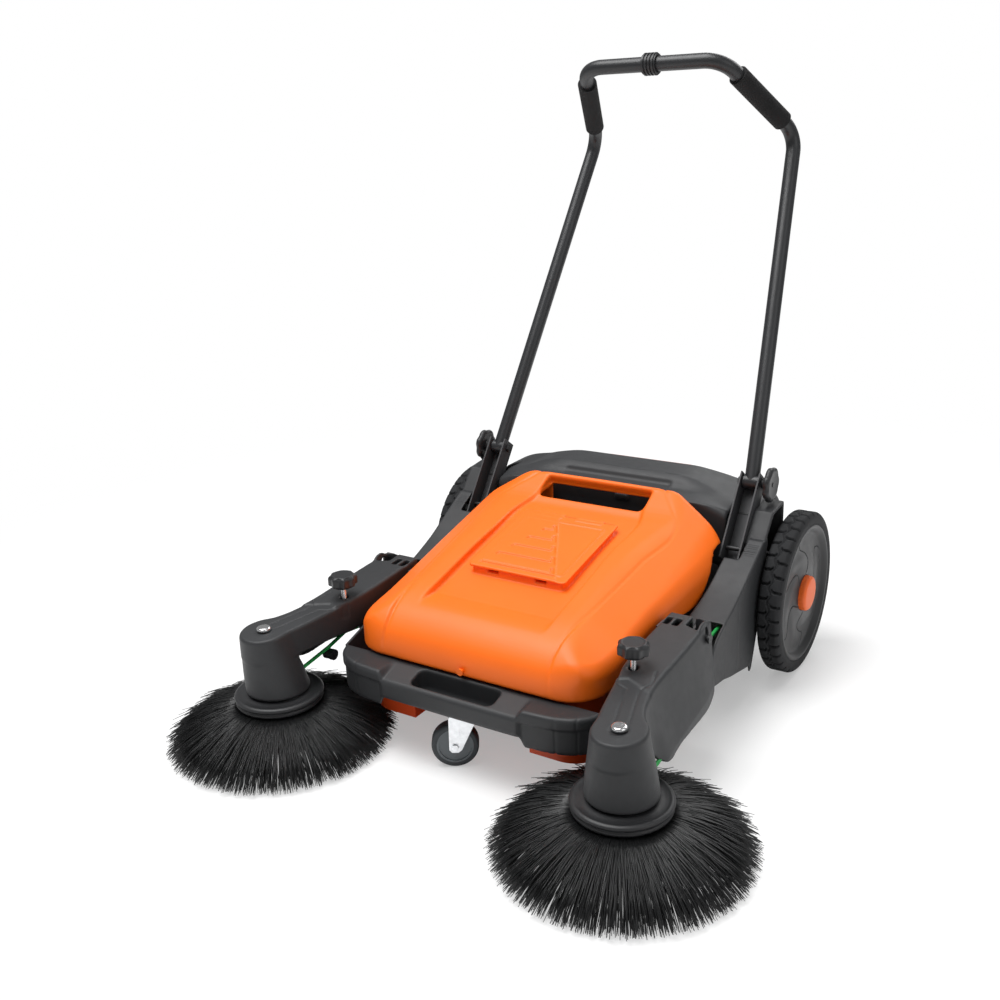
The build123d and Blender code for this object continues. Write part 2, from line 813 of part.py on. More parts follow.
with BuildPart() as handle_knob_right:
    with BuildSketch(side_plane(268.5)):
        with Locations(handle_pivot[1:]):
            Circle(12)
    extrude(amount=8)
    with BuildSketch(side_plane(276)):
        with Locations(handle_pivot[1:]):
            Circle(28)
            with PolarLocations(30, 8):
                Circle(5, mode=Mode.SUBTRACT)
    extrude(amount=15)
    with BuildSketch(side_plane(286)):
        with Locations(handle_pivot[1:]):
            Circle(20)
    extrude(amount=10, mode=Mode.SUBTRACT)
    with BuildSketch(side_plane(260)):
        with Locations(handle_pivot[1:]):
            Circle(handle_bolt_radius + running_gap)
    extrude(amount=40, mode=Mode.SUBTRACT)
handle_knob_right.part.label = "handle_knob_right"
export_step(handle_knob_right.part.moved(to_footprint_middle), "parts/handle_knob_right.step")

with BuildPart() as handle_knob_left:
    mirror(handle_knob_right.part, about=Plane.YZ)
handle_knob_left.part.label = "handle_knob_left"
export_step(handle_knob_left.part.moved(to_footprint_middle), "parts/handle_knob_left.step")

# ---------------------------------------------------------------- brush arms


def arm_top(y):
    """Height of the arm's top surface at this y."""
    return arm_top_at_nose + arm_top_rise * (y - side_brush_y)


nose_top_centre = (308.0, -634.0)
nose_base_height = 87.0
arm_bottom = 100.0
arm_rear_y = -326.0
arm_plan = [
    (237.5, arm_rear_y),
    (237.5, -440),
    (246, -520),
    (268, -634),
    (308, -662),
    (343, -634),
    (338, -550),
    (330, -480),
    (316, -400),
    (302, arm_rear_y),
]
arm_cavity_plan = [
    (241, arm_rear_y + 5),
    (241, -441),
    (250, -520),
    (272, -628),
    (308, -655),
    (339, -630),
    (334, -550),
    (326.5, -480),
    (312.5, -400),
    (298.5, arm_rear_y + 5),
]


def above_arm(margin):
    """Outline, seen from the side, of everything above the arm's top less this margin."""
    return [(-720, arm_top(-720) - margin), (-280, arm_top(-280) - margin), (-280, 330), (-720, 330)]


with BuildPart() as arm_cavity:
    with BuildSketch(Plane.XY.offset(arm_bottom - 10)):
        with BuildLine():
            Polyline(*arm_cavity_plan, close=True)
        make_face()
    extrude(amount=140)
    with BuildSketch(Plane.XY.offset(nose_base_height - 1)):
        with Locations((side_brush_x, side_brush_y)):
            Circle(46.5)
    with BuildSketch(Plane.XY.offset(188)):
        with Locations(nose_top_centre):
            Circle(32.5)
    loft()
    with BuildSketch(side_plane(0)):
        with BuildLine():
            Polyline(*above_arm(arm_wall), close=True)
        make_face()
    extrude(amount=400, both=True, mode=Mode.SUBTRACT)

with BuildPart() as arm_housing_right:
    with BuildSketch(Plane.XY.offset(arm_bottom)):
        with BuildLine():
            Polyline(*arm_plan, close=True)
        make_face()
    extrude(amount=130)
    with BuildSketch(Plane.XY.offset(nose_base_height)):
        with Locations((side_brush_x, side_brush_y)):
            Circle(50)
    with BuildSketch(Plane.XY.offset(arm_top(nose_top_centre[1]))):
        with Locations(nose_top_centre):
            Circle(36)
    loft()
    with BuildSketch(side_plane(0)):
        with BuildLine():
            Polyline(*above_arm(0), close=True)
        make_face()
    extrude(amount=400, both=True, mode=Mode.SUBTRACT)
    add(arm_cavity.part, mode=Mode.SUBTRACT)
    # spindle bearing, bolt boss and the boss that the height screw threads through
    for centre, radius, low in (
        ((side_brush_x, side_brush_y), 11, 124),
        (nose_top_centre, 7, 160),
        ((knob_x, knob_y), 11, 180),
    ):
        with BuildSketch(Plane.XY.offset(low)):
            with Locations(centre):
                Circle(radius)
        extrude(amount=arm_top(centre[1]) - 1 - low)
    for centre, radius in (
        ((side_brush_x, side_brush_y), spindle_radius + running_gap),
        (nose_top_centre, arm_pin_radius + 0.02),
    ):
        with BuildSketch(Plane.XY.offset(80)):
            with Locations(centre):
                Circle(radius)
        extrude(amount=arm_top(centre[1]) - 84 if radius > arm_pin_radius + 1 else 130, mode=Mode.SUBTRACT)
    with BuildSketch(Plane.XY.offset(80)):
        with Locations((knob_x, knob_y)):
            Circle(knob_shank_radius + running_gap)
    extrude(amount=200, mode=Mode.SUBTRACT)
    # opening for the guide roller
    with Locations((246, -518, 122)):
        Box(30, 66, 50, mode=Mode.SUBTRACT)
    with BuildSketch(side_plane(0)):
        with Locations((arm_pivot_y, arm_pivot_height)):
            Circle(arm_pin_radius + running_gap)
    extrude(amount=400, mode=Mode.SUBTRACT)
    # opening over the pin near the rear outer corner
    with Locations((291, -352, 212)):
        Box(12, 22, 30, mode=Mode.SUBTRACT)
arm_housing_right.part.label = "arm_housing_right"
export_step(arm_housing_right.part.moved(to_footprint_middle), "parts/arm_housing_right.step")

with BuildPart() as arm_housing_left:
    mirror(arm_housing_right.part, about=Plane.YZ)
arm_housing_left.part.label = "arm_housing_left"
export_step(arm_housing_left.part.moved(to_footprint_middle), "parts/arm_housing_left.step")

with BuildPart() as arm_pivot_pins:
    with BuildSketch(side_plane(front_wall_inner_x + 0.5)):
        with Locations((arm_pivot_y, arm_pivot_height)):
            Circle(arm_pin_radius)
    extrude(amount=79)
    with BuildSketch(side_plane(309)):
        with Locations((arm_pivot_y, arm_pivot_height)):
            Circle(arm_pin_radius + 3)
    extrude(amount=3)
    mirror(about=Plane.YZ)
arm_pivot_pins.part.label = "arm_pivot_pins"
export_step(arm_pivot_pins.part.moved(to_footprint_middle), "parts/arm_pivot_pins.step")

with BuildPart() as nose_bolt_right:
    with BuildSketch(Plane.XY.offset(arm_top(nose_top_centre[1]) + 0.9)):
        with Locations(nose_top_centre):
            Circle(11)
    extrude(amount=5)
    fillet(nose_bolt_right.faces().sort_by(Axis.Z)[-1].edges(), radius=3.5)
    with BuildSketch(Plane.XY.offset(164)):
        with Locations(nose_top_centre):
            Circle(arm_pin_radius)
    extrude(amount=28)
nose_bolt_right.part.label = "nose_bolt_right"
export_step(nose_bolt_right.part.moved(to_footprint_middle), "parts/nose_bolt_right.step")

with BuildPart() as nose_bolt_left:
    mirror(nose_bolt_right.part, about=Plane.YZ)
nose_bolt_left.part.label = "nose_bolt_left"
export_step(nose_bolt_left.part.moved(to_footprint_middle), "parts/nose_bolt_left.step")

# eight-lobed knob on a steel screw that bears on the chassis
knob_bottom = 221.5
knob_height = 22.0
with BuildPart() as height_knob_right:
    with BuildSketch(Plane.XY.offset(knob_bottom)):
        with Locations((knob_x, knob_y)):
            Circle(21)
            with PolarLocations(19, 8):
                Circle(5)
    extrude(amount=knob_height)
    fillet(height_knob_right.faces().sort_by(Axis.Z)[-1].edges(), radius=1.5)
    with BuildSketch(Plane.XY.offset(176)):
        with Locations((knob_x, knob_y)):
            Circle(knob_shank_radius)
    extrude(amount=48)
height_knob_right.part.label = "height_knob_right"
export_step(height_knob_right.part.moved(to_footprint_middle), "parts/height_knob_right.step")

with BuildPart() as height_knob_left:
    mirror(height_knob_right.part, about=Plane.YZ)
height_knob_left.part.label = "height_knob_left"
export_step(height_knob_left.part.moved(to_footprint_middle), "parts/height_knob_left.step")

# ---------------------------------------------------------------- side brushes

with BuildPart() as brush_spindle_right:
    with BuildSketch(Plane.XY.offset(84.2)):
        with Locations((side_brush_x, side_brush_y)):
            Circle(spindle_radius)
    extrude(amount=100)
    with BuildSketch(Plane.XY.offset(spindle_pulley_height - 6)):
        with Locations((side_brush_x, side_brush_y)):
            Circle(31)
    extrude(amount=12)
    with BuildSketch(Plane.XY.offset(spindle_pulley_height - 4.6)):
        with Locations((side_brush_x, side_brush_y)):
            Circle(34)
            Circle(26.5, mode=Mode.SUBTRACT)
    extrude(amount=9.2, mode=Mode.SUBTRACT)
brush_spindle_right.part.label = "brush_spindle_right"
export_step(brush_spindle_right.part.moved(to_footprint_middle), "parts/brush_spindle_right.step")

with BuildPart() as brush_spindle_left:
    mirror(brush_spindle_right.part, about=Plane.YZ)
brush_spindle_left.part.label = "brush_spindle_left"
export_step(brush_spindle_left.part.moved(to_footprint_middle), "parts/brush_spindle_left.step")

# two stacked discs; the lower one holds the bristles
brush_section = Plane(origin=(side_brush_x, side_brush_y, 0), x_dir=(1, 0, 0), z_dir=(0, -1, 0))
brush_axis = Axis((side_brush_x, side_brush_y, 0), (0, 0, 1))
with BuildPart() as side_brush_disc_right:
    with BuildSketch(brush_section) as disc_section:
        with BuildLine():
            Polyline(
                (0, 84),
                (57, 84),
                (64, side_disc_top),
                (side_disc_radius, 80),
                (side_disc_radius, 75),
                (66.5, 72),
                (66.5, 64),
                (20, 64),
                (0, 68),
                close=True,
            )
        make_face()
    revolve(axis=brush_axis)
side_brush_disc_right.part.label = "side_brush_disc_right"
export_step(side_brush_disc_right.part.moved(to_footprint_middle), "parts/side_brush_disc_right.step")

with BuildPart() as side_brush_disc_left:
    mirror(side_brush_disc_right.part, about=Plane.YZ)
side_brush_disc_left.part.label = "side_brush_disc_left"
export_step(side_brush_disc_left.part.moved(to_footprint_middle), "parts/side_brush_disc_left.step")

# the skirt of bristles droops from the disc to the floor
with BuildPart() as side_bristles_right:
    with BuildSketch(brush_section):
        with BuildLine():
            upper = Spline((66, 63.9), (120, 51), (160, 28), (side_brush_radius, 3))
            floor = Line(upper @ 1, (178, 0))
            lower = Spline(floor @ 1, (148, 22), (108, 42), (44, 56))
            inner = Line(lower @ 1, (44, 63.9))
            Line(inner @ 1, upper @ 0)
        make_face()
    revolve(axis=brush_axis)
side_bristles_right.part.label = "side_bristles_right"
export_step(side_bristles_right.part.moved(to_footprint_middle), "parts/side_bristles_right.step")

with BuildPart() as side_bristles_left:
    mirror(side_bristles_right.part, about=Plane.YZ)
side_bristles_left.part.label = "side_bristles_left"
export_step(side_bristles_left.part.moved(to_footprint_middle), "parts/side_bristles_left.step")

# ---------------------------------------------------------------- round belts and guide rollers

strand_inner_x = side_brush_x - 30
strand_outer_x = side_brush_x + 30
belt_turn_radius = belt_wheel_radius + belt_radius + 0.5


# straight runs of the belt, from the wheel's groove to the spindle pulley
upper_run = [
    (belt_wheel_x, 0, axle_height + belt_turn_radius),
    (belt_wheel_x, -301, 166),
    (strand_inner_x, -528, 125),
    (strand_inner_x, side_brush_y, spindle_pulley_height),
]
lower_run = [
    (belt_wheel_x, 0, axle_height - belt_turn_radius),
    (belt_wheel_x + 1, -301, 103),
    (326, -528, 111),
    (strand_outer_x, side_brush_y, spindle_pulley_height),
]
with BuildPart() as belt_right:
    for run in (upper_run, lower_run):
        for start, end in zip(run, run[1:]):
            reach = Vector(*end) - Vector(*start)
            with BuildSketch(Plane(origin=start, z_dir=reach)):
                Circle(belt_radius)
            extrude(amount=reach.length)
        for corner in run:
            with Locations(corner):
                Sphere(belt_radius + belt_joint_swell)
    # half turns round the wheel and round the spindle
    with BuildSketch(Plane(origin=lower_run[0], z_dir=(0, 1, 0))):
        Circle(belt_radius)
    revolve(axis=wheel_axis, revolution_arc=180)
    with BuildSketch(Plane(origin=upper_run[-1], z_dir=(0, -1, 0))):
        Circle(belt_radius)
    revolve(axis=Axis((side_brush_x, side_brush_y, 0), (0, 0, 1)), revolution_arc=180)
belt_right.part.label = "belt_right"
export_step(belt_right.part.moved(to_footprint_middle), "parts/belt_right.step")

with BuildPart() as belt_left:
    mirror(belt_right.part, about=Plane.YZ)
belt_left.part.label = "belt_left"
export_step(belt_left.part.moved(to_footprint_middle), "parts/belt_left.step")

roller_centre = (-528.0, 112.0)
with BuildPart() as guide_roller_right:
    with BuildSketch(side_plane(264)):
        with Locations(roller_centre):
            Circle(9)
    extrude(amount=18)
    with BuildSketch(side_plane(270)):
        with Locations(roller_centre):
            Circle(12)
            Circle(8.5, mode=Mode.SUBTRACT)
    extrude(amount=8, mode=Mode.SUBTRACT)
guide_roller_right.part.label = "guide_roller_right"
export_step(guide_roller_right.part.moved(to_footprint_middle), "parts/guide_roller_right.step")

with BuildPart() as guide_roller_left:
    mirror(guide_roller_right.part, about=Plane.YZ)
guide_roller_left.part.label = "guide_roller_left"
export_step(guide_roller_left.part.moved(to_footprint_middle), "parts/guide_roller_left.step")

# ---------------------------------------------------------------- hopper

with BuildPart() as hopper_tub:
    # the low part has a notch at the front for the caster to swivel in
    with BuildSketch(Plane.XY.offset(tub_bottom)) as low_plan:
        with Locations((0, (tub_front_y + tub_rear_y) / 2)):
            Rectangle(2 * tub_half_width, tub_rear_y - tub_front_y)
        fillet(low_plan.vertices().group_by(Axis.Y)[0], radius=50)
        with Locations((0, tub_front_y)):
            Rectangle(210, 100, mode=Mode.SUBTRACT)
    extrude(amount=68)
    with BuildSketch(Plane.XY.offset(106)) as high_plan:
        with Locations((0, (tub_front_y + tub_rear_y) / 2)):
            Rectangle(2 * tub_half_width, tub_rear_y - tub_front_y)
        fillet(high_plan.vertices().group_by(Axis.Y)[0], radius=50)
    extrude(amount=tub_top - 106)
    with BuildSketch(Plane.XY.offset(tub_bottom + hopper_wall)) as low_hollow:
        with Locations((0, (tub_front_y + tub_rear_y) / 2)):
            Rectangle(2 * (tub_half_width - hopper_wall), tub_rear_y - tub_front_y - 2 * hopper_wall)
        fillet(low_hollow.vertices().group_by(Axis.Y)[0], radius=47)
        with Locations((0, tub_front_y)):
            Rectangle(210 + 2 * hopper_wall, 100 + 2 * hopper_wall, mode=Mode.SUBTRACT)
    extrude(amount=80, mode=Mode.SUBTRACT)
    with BuildSketch(Plane.XY.offset(109)) as high_hollow:
        with Locations((0, (tub_front_y + tub_rear_y) / 2)):
            Rectangle(2 * (tub_half_width - hopper_wall), tub_rear_y - tub_front_y - 2 * hopper_wall)
        fillet(high_hollow.vertices().group_by(Axis.Y)[0], radius=47)
    extrude(amount=100, mode=Mode.SUBTRACT)
    # the rear wall is low, so that the brush throws dirt over its lip
    with Locations((0, tub_rear_y, 150)):
        Box(2 * (tub_half_width - hopper_wall), 20, 90, mode=Mode.SUBTRACT)
    # hole for the hood's screw
    with BuildSketch(Plane.XZ.offset(-tub_front_y - 10)):
        with Locations((0, 155)):
            Circle(3.02)
    extrude(amount=30, mode=Mode.SUBTRACT)
hopper_tub.part.label = "hopper_tub"
export_step(hopper_tub.part.moved(to_footprint_middle), "parts/hopper_tub.step")

# the hood's outline seen from the side: carrying bar, long sloping top, rounded nose, lower edge
hood_side = [
    (-88, 252),
    (-88, 325),
    (-104, 322),
    (-124, 300),
    (-160, 294),
    (-287, 273),
    (-404, 246),
    (-481, 226.5),
    (-504, 218),
    (-521, 207.5),
    (-534, 192),
    (-542, 176.5),
    (-546, 158),
    (-546, 147),
    (-481, 168),
    (-284, 182),
    (-204, 193),
    (-155, 240),
]
# and half of it seen from above
hood_plan = [(0, -88), (206, -88), (230, -118), (242, -152), (238, -240), (226, -330), (222, -400), (221, -494)]
hood_plan += [(200, -528), (150, -546), (0, -546)]
shoulder_x = 171.0
shoulder_y = -162.0
shoulder_height = 292.5
shoulder_fall = 0.56  # how steeply the shoulders drop outwards
shoulder_slope = 0.2356  # and towards the front


def hood_block(inset):
    """The hood as a solid block, or the block inside its walls when inset is the wall's thickness."""
    side = []
    for y, z in hood_side:
        on_top = z > 194 + 0.1 * (y + 204) and y < -88
        side.append((y + inset if y < -300 else y - inset, z - inset if on_top else z - 4 * inset))
    plan = [(max(x - inset, 0), y - inset if y > -300 else y + inset) for x, y in hood_plan]
    with BuildPart() as block:
        with BuildSketch(side_plane(0)):
            with BuildLine():
                Polyline(*side, close=True)
            make_face()
        extrude(amount=260, both=True)
        with BuildSketch(Plane.XY.offset(100)):
            with BuildLine():
                Polyline(*plan, close=True)
            make_face()
            mirror(about=Plane.YZ)
        extrude(amount=300, mode=Mode.INTERSECT)
        for direction in (1, -1):
            shoulder = Plane(
                origin=(direction * (shoulder_x - inset), shoulder_y, shoulder_height - inset),
                z_dir=(direction * shoulder_fall, -shoulder_slope, 1),
            )
            split(bisect_by=shoulder, keep=Keep.BOTTOM)
    return block.part


hood_shell = hood_block(0)
hood_hollow = hood_block(hopper_wall)
recess_half_width = 112.0


def above_recess(margin):
    """Outline, seen from the side, of everything above the recess floor less this margin."""
    rear, front, above = -160 + margin, -430 - margin, 340
    return [(rear, 290 - margin), (front, 224 - margin), (front, above), (rear, above)]


# the hollow stops short of the recess, which leaves the recess its own floor and walls
with BuildPart() as hood_inside:
    add(hood_hollow)
    with BuildSketch(side_plane(0)):
        with BuildLine():
            Polyline(*above_recess(hopper_wall), close=True)
        make_face()
    extrude(amount=recess_half_width + hopper_wall, both=True, mode=Mode.SUBTRACT)

with BuildPart() as hopper_hood:
    add(hood_shell)
    add(hood_inside.part, mode=Mode.SUBTRACT)
    with BuildSketch(side_plane(0)):
        with BuildLine():
            Polyline(*above_recess(0), close=True)
        make_face()
    extrude(amount=recess_half_width, both=True, mode=Mode.SUBTRACT)
    # hand hole behind the carrying bar, the filling opening under the hatch, and the screw hole
    with BuildSketch(Plane.XY.offset(240)):
        with Locations((0, -122)):
            RectangleRounded(200, 34, 14)
        with Locations((0, -300)):
            RectangleRounded(140, 140, 10)
    extrude(amount=100, mode=Mode.SUBTRACT)
    with BuildSketch(Plane.XZ.offset(500)):
        with Locations((0, 155)):
            Circle(3.02)
    extrude(amount=80, mode=Mode.SUBTRACT)
    # ears for the hatch's hinge pin
    for ear_x in (-74, 0, 74):
        with BuildSketch(Plane.YZ.offset(ear_x - 5)):
            with Locations((hatch_hinge_y, hatch_hinge_height - 3)):
                Rectangle(9, 14)
            with Locations((hatch_hinge_y, hatch_hinge_height)):
                Circle(hatch_pin_radius + 0.02, mode=Mode.SUBTRACT)
        extrude(amount=10)
hopper_hood.part.label = "hopper_hood"
export_step(hopper_hood.part.moved(to_footprint_middle), "parts/hopper_hood.step")

with BuildPart() as hopper_screw:
    with BuildSketch(Plane.XZ.offset(522)):
        with Locations((0, 155)):
            Circle(3)
    extrude(amount=25)
    with BuildSketch(Plane.XZ.offset(546.3)):
        with Locations((0, 155)):
            Circle(5.5)
    extrude(amount=2.5)
hopper_screw.part.label = "hopper_screw"
export_step(hopper_screw.part.moved(to_footprint_middle), "parts/hopper_screw.step")

with BuildPart() as hatch_pin:
    with BuildSketch(Plane.YZ):
        with Locations((hatch_hinge_y, hatch_hinge_height)):
            Circle(hatch_pin_radius)
    extrude(amount=80, both=True)
hatch_pin.part.label = "hatch_pin"
export_step(hatch_pin.part.moved(to_footprint_middle), "parts/hatch_pin.step")

with BuildPart() as hatch_lid:
    with BuildSketch(side_plane(0)):
        with BuildLine():
            Polyline(
                (hatch_rear_y, 289),
                (hatch_front_y, 255),
                (hatch_front_y - 2, 239),
                (hatch_rear_y, 281),
                close=True,
            )
        make_face()
    extrude(amount=hatch_half_width, both=True)
    with BuildSketch(side_plane(0)):
        with BuildLine():
            Polyline(
                (hatch_rear_y - 3, 284),
                (hatch_front_y + 2, 251),
                (hatch_front_y + 1, 230),
                (hatch_rear_y - 3, 270),
                close=True,
            )
        make_face()
    extrude(amount=hatch_half_width - 3, both=True, mode=Mode.SUBTRACT)
    # hinge knuckles
    for knuckle_x in (-37, 37):
        with BuildSketch(Plane.YZ.offset(knuckle_x - 25)):
            with Locations((hatch_hinge_y, hatch_hinge_height)):
                Circle(4.2)
            with Locations((hatch_hinge_y - 4, hatch_hinge_height)):
                Rectangle(8, 5)
            with Locations((hatch_hinge_y, hatch_hinge_height)):
                Circle(hatch_pin_radius + running_gap, mode=Mode.SUBTRACT)
        extrude(amount=50)
hatch_lid.part.label = "hatch_lid"
export_step(hatch_lid.part.moved(to_footprint_middle), "parts/hatch_lid.step")

# ---------------------------------------------------------------- caster

heading = radians(caster_heading)
axle_direction = (sin(heading), -cos(heading), 0)
roll_direction = (cos(heading), sin(heading), 0)
caster_wheel_centre = (
    -caster_trail * roll_direction[0],
    caster_y - caster_trail * roll_direction[1],
    caster_radius,
)
caster_side = Plane(origin=caster_wheel_centre, x_dir=roll_direction, z_dir=axle_direction)
caster_top = Plane(origin=(0, caster_y, 0), x_dir=roll_direction, z_dir=(0, 0, 1))
kingpin_radius = 5.0

with BuildPart() as caster_plate:
    with BuildSketch(Plane.XY.offset(93.9)):
        with Locations((0, caster_y)):
            RectangleRounded(60, 56, 5)
            with GridLocations(44, 40, 2, 2):
                Circle(3.2, mode=Mode.SUBTRACT)
    extrude(amount=3)
    with BuildSketch(Plane.XY.offset(89.4)):
        with Locations((0, caster_y)):
            Circle(22)
    extrude(amount=5)
    with BuildSketch(Plane.XY.offset(82)):
        with Locations((0, caster_y)):
            Circle(kingpin_radius)
    extrude(amount=10)
    with BuildSketch(Plane.XY.offset(79)):
        with Locations((0, caster_y)):
            Circle(kingpin_radius + 3)
    extrude(amount=3.5)
caster_plate.part.label = "caster_plate"
export_step(caster_plate.part.moved(to_footprint_middle), "parts/caster_plate.step")

with BuildPart() as caster_fork:
    with BuildSketch(caster_top.offset(83)):
        RectangleRounded(44, 31, 4)
        Circle(kingpin_radius + running_gap, mode=Mode.SUBTRACT)
    extrude(amount=6)
    for leg_side in (12.5, -15):
        with BuildSketch(caster_side.offset(leg_side)):
            with BuildLine():
                Polyline((-8, 50), (36, 50), (10, -5), (5, -9), (-5, -9), (-9, -4), close=True)
            make_face()
            Circle(3.52, mode=Mode.SUBTRACT)
        extrude(amount=2.5)
caster_fork.part.label = "caster_fork"
export_step(caster_fork.part.moved(to_footprint_middle), "parts/caster_fork.step")

with BuildPart() as caster_axle:
    with BuildSketch(caster_side.offset(-17)):
        Circle(3.5)
    extrude(amount=34)
    for head in (15.2, -18.2):
        with BuildSketch(caster_side.offset(head)):
            RegularPolygon(5.5, 6)
        extrude(amount=3)
caster_axle.part.label = "caster_axle"
export_step(caster_axle.part.moved(to_footprint_middle), "parts/caster_axle.step")

with BuildPart() as caster_wheel:
    with BuildSketch(caster_side.offset(-caster_half_width)):
        Circle(28)
        Circle(3.5 + running_gap, mode=Mode.SUBTRACT)
    extrude(amount=2 * caster_half_width)
    for groove in (caster_half_width - 1.5, -caster_half_width):
        with BuildSketch(caster_side.offset(groove)):
            Circle(25)
            Circle(10, mode=Mode.SUBTRACT)
        extrude(amount=1.5, mode=Mode.SUBTRACT)
caster_wheel.part.label = "caster_wheel"
export_step(caster_wheel.part.moved(to_footprint_middle), "parts/caster_wheel.step")

with BuildPart() as caster_tread:
    with BuildSketch(caster_side.offset(-caster_half_width)):
        Circle(caster_radius)
        Circle(28, mode=Mode.SUBTRACT)
    extrude(amount=2 * caster_half_width)
    fillet(caster_tread.edges().filter_by(GeomType.CIRCLE).sort_by(SortBy.RADIUS)[-2:], radius=4)
caster_tread.part.label = "caster_tread"
export_step(caster_tread.part.moved(to_footprint_middle), "parts/caster_tread.step")
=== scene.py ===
"""Looks of the push sweeper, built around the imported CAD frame. Shapes are worked out in millimetres."""

import math

import bmesh
import bpy
import numpy as np
from mathutils import Matrix, Vector


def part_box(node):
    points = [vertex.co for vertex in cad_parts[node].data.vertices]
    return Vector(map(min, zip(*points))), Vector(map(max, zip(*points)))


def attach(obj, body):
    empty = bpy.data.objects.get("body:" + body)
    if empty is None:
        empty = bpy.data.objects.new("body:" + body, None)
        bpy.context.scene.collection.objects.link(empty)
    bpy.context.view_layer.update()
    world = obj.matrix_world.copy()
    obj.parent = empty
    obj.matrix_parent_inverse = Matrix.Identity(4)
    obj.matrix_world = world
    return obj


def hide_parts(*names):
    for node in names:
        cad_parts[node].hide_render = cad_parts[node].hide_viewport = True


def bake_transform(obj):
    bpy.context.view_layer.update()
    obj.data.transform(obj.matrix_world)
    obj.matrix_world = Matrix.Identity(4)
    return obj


MM = 0.001
SEED = 7
HANDLE_PIVOT = (250.5, -34.0, 336.3)

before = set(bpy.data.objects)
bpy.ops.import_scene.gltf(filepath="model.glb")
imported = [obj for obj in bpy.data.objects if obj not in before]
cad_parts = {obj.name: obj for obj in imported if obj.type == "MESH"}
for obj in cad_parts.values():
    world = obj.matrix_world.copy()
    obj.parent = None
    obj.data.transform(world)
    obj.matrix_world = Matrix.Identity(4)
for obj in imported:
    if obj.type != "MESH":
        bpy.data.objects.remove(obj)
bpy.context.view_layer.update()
# shapes are drawn from the rear wheel axle, which stands at this y of the frame, in metres
AXLE_Y = sum(corner[1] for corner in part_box("wheel_axle")) / 2
scene = bpy.context.scene


# ---------- materials


def new_material(name, colour, roughness, metallic=0.0):
    """A principled material; returns the material, its nodes, its links and its shader."""
    material = bpy.data.materials.new(name)
    material.use_nodes = True
    nodes, links = material.node_tree.nodes, material.node_tree.links
    shader = nodes["Principled BSDF"]
    shader.inputs["Base Color"].default_value = (*colour, 1)
    shader.inputs["Roughness"].default_value = roughness
    shader.inputs["Metallic"].default_value = metallic
    return material, nodes, links, shader


def noise(nodes, links, scale, detail=3.0):
    """A noise texture in object space; returns its node."""
    coords = nodes.new("ShaderNodeTexCoord")
    texture = nodes.new("ShaderNodeTexNoise")
    texture.inputs["Scale"].default_value = scale
    texture.inputs["Detail"].default_value = detail
    links.new(coords.outputs["Object"], texture.inputs["Vector"])
    return texture


def vary_colour(nodes, links, shader, texture, colour, spread):
    """Mixes the colour with a darker and a lighter version of itself by the texture."""
    ramp = nodes.new("ShaderNodeValToRGB")
    ramp.color_ramp.elements[0].position = 0.3
    ramp.color_ramp.elements[1].position = 0.7
    ramp.color_ramp.elements[0].color = (*[c * (1 - spread) for c in colour], 1)
    ramp.color_ramp.elements[1].color = (*[min(1, c * (1 + spread)) for c in colour], 1)
    links.new(texture.outputs["Fac"], ramp.inputs["Fac"])
    links.new(ramp.outputs["Color"], shader.inputs["Base Color"])
    return ramp


def vary_roughness(nodes, links, shader, texture, low, high):
    """Spreads roughness between two values by the texture."""
    spread = nodes.new("ShaderNodeMapRange")
    spread.inputs["To Min"].default_value = low
    spread.inputs["To Max"].default_value = high
    links.new(texture.outputs["Fac"], spread.inputs["Value"])
    links.new(spread.outputs["Result"], shader.inputs["Roughness"])


def add_bump(nodes, links, shader, texture, strength, depth):
    """Surface relief from a texture; depth is in metres."""
    bump = nodes.new("ShaderNodeBump")
    bump.inputs["Strength"].default_value = strength
    bump.inputs["Distance"].default_value = depth
    links.new(texture.outputs["Fac"], bump.inputs["Height"])
    links.new(bump.outputs["Normal"], shader.inputs["Normal"])


def wear_edges(nodes, links, shader, base_output, worn, amount):
    """Lightens convex edges, where hands and kerbs rub the surface."""
    geometry = nodes.new("ShaderNodeNewGeometry")
    edge = nodes.new("ShaderNodeMapRange")
    edge.inputs["From Min"].default_value = 0.53
    edge.inputs["From Max"].default_value = 0.62
    edge.inputs["To Max"].default_value = amount
    mix = nodes.new("ShaderNodeMix")
    mix.data_type = "RGBA"
    mix.inputs["B"].default_value = (*worn, 1)
    links.new(geometry.outputs["Pointiness"], edge.inputs["Value"])
    links.new(edge.outputs["Result"], mix.inputs["Factor"])
    links.new(base_output, mix.inputs["A"])
    links.new(mix.outputs["Result"], shader.inputs["Base Color"])


def moulded_plastic(name, colour, low, high, grain, depth, spread=0.08, worn=None):
    """Injection-moulded plastic with a fine spark-eroded grain."""
    material, nodes, links, shader = new_material(name, colour, (low + high) / 2)
    shader.inputs["Specular IOR Level"].default_value = 0.45
    cloud = noise(nodes, links, 9.0, 4.0)
    ramp = vary_colour(nodes, links, shader, cloud, colour, spread)
    vary_roughness(nodes, links, shader, noise(nodes, links, 60.0), low, high)
    add_bump(nodes, links, shader, noise(nodes, links, grain, 2.0), 0.35, depth)
    if worn:
        wear_edges(nodes, links, shader, ramp.outputs["Color"], worn, 0.5)
    return material


def metal(name, colour, roughness):
    """Plated or bright metal with fine brushing."""
    material, nodes, links, shader = new_material(name, colour, roughness, 1.0)
    cloud = noise(nodes, links, 120.0, 5.0)
    vary_colour(nodes, links, shader, cloud, colour, 0.12)
    vary_roughness(nodes, links, shader, cloud, roughness * 0.7, roughness * 1.35)
    add_bump(nodes, links, shader, noise(nodes, links, 900.0), 0.15, 0.0001)
    return material


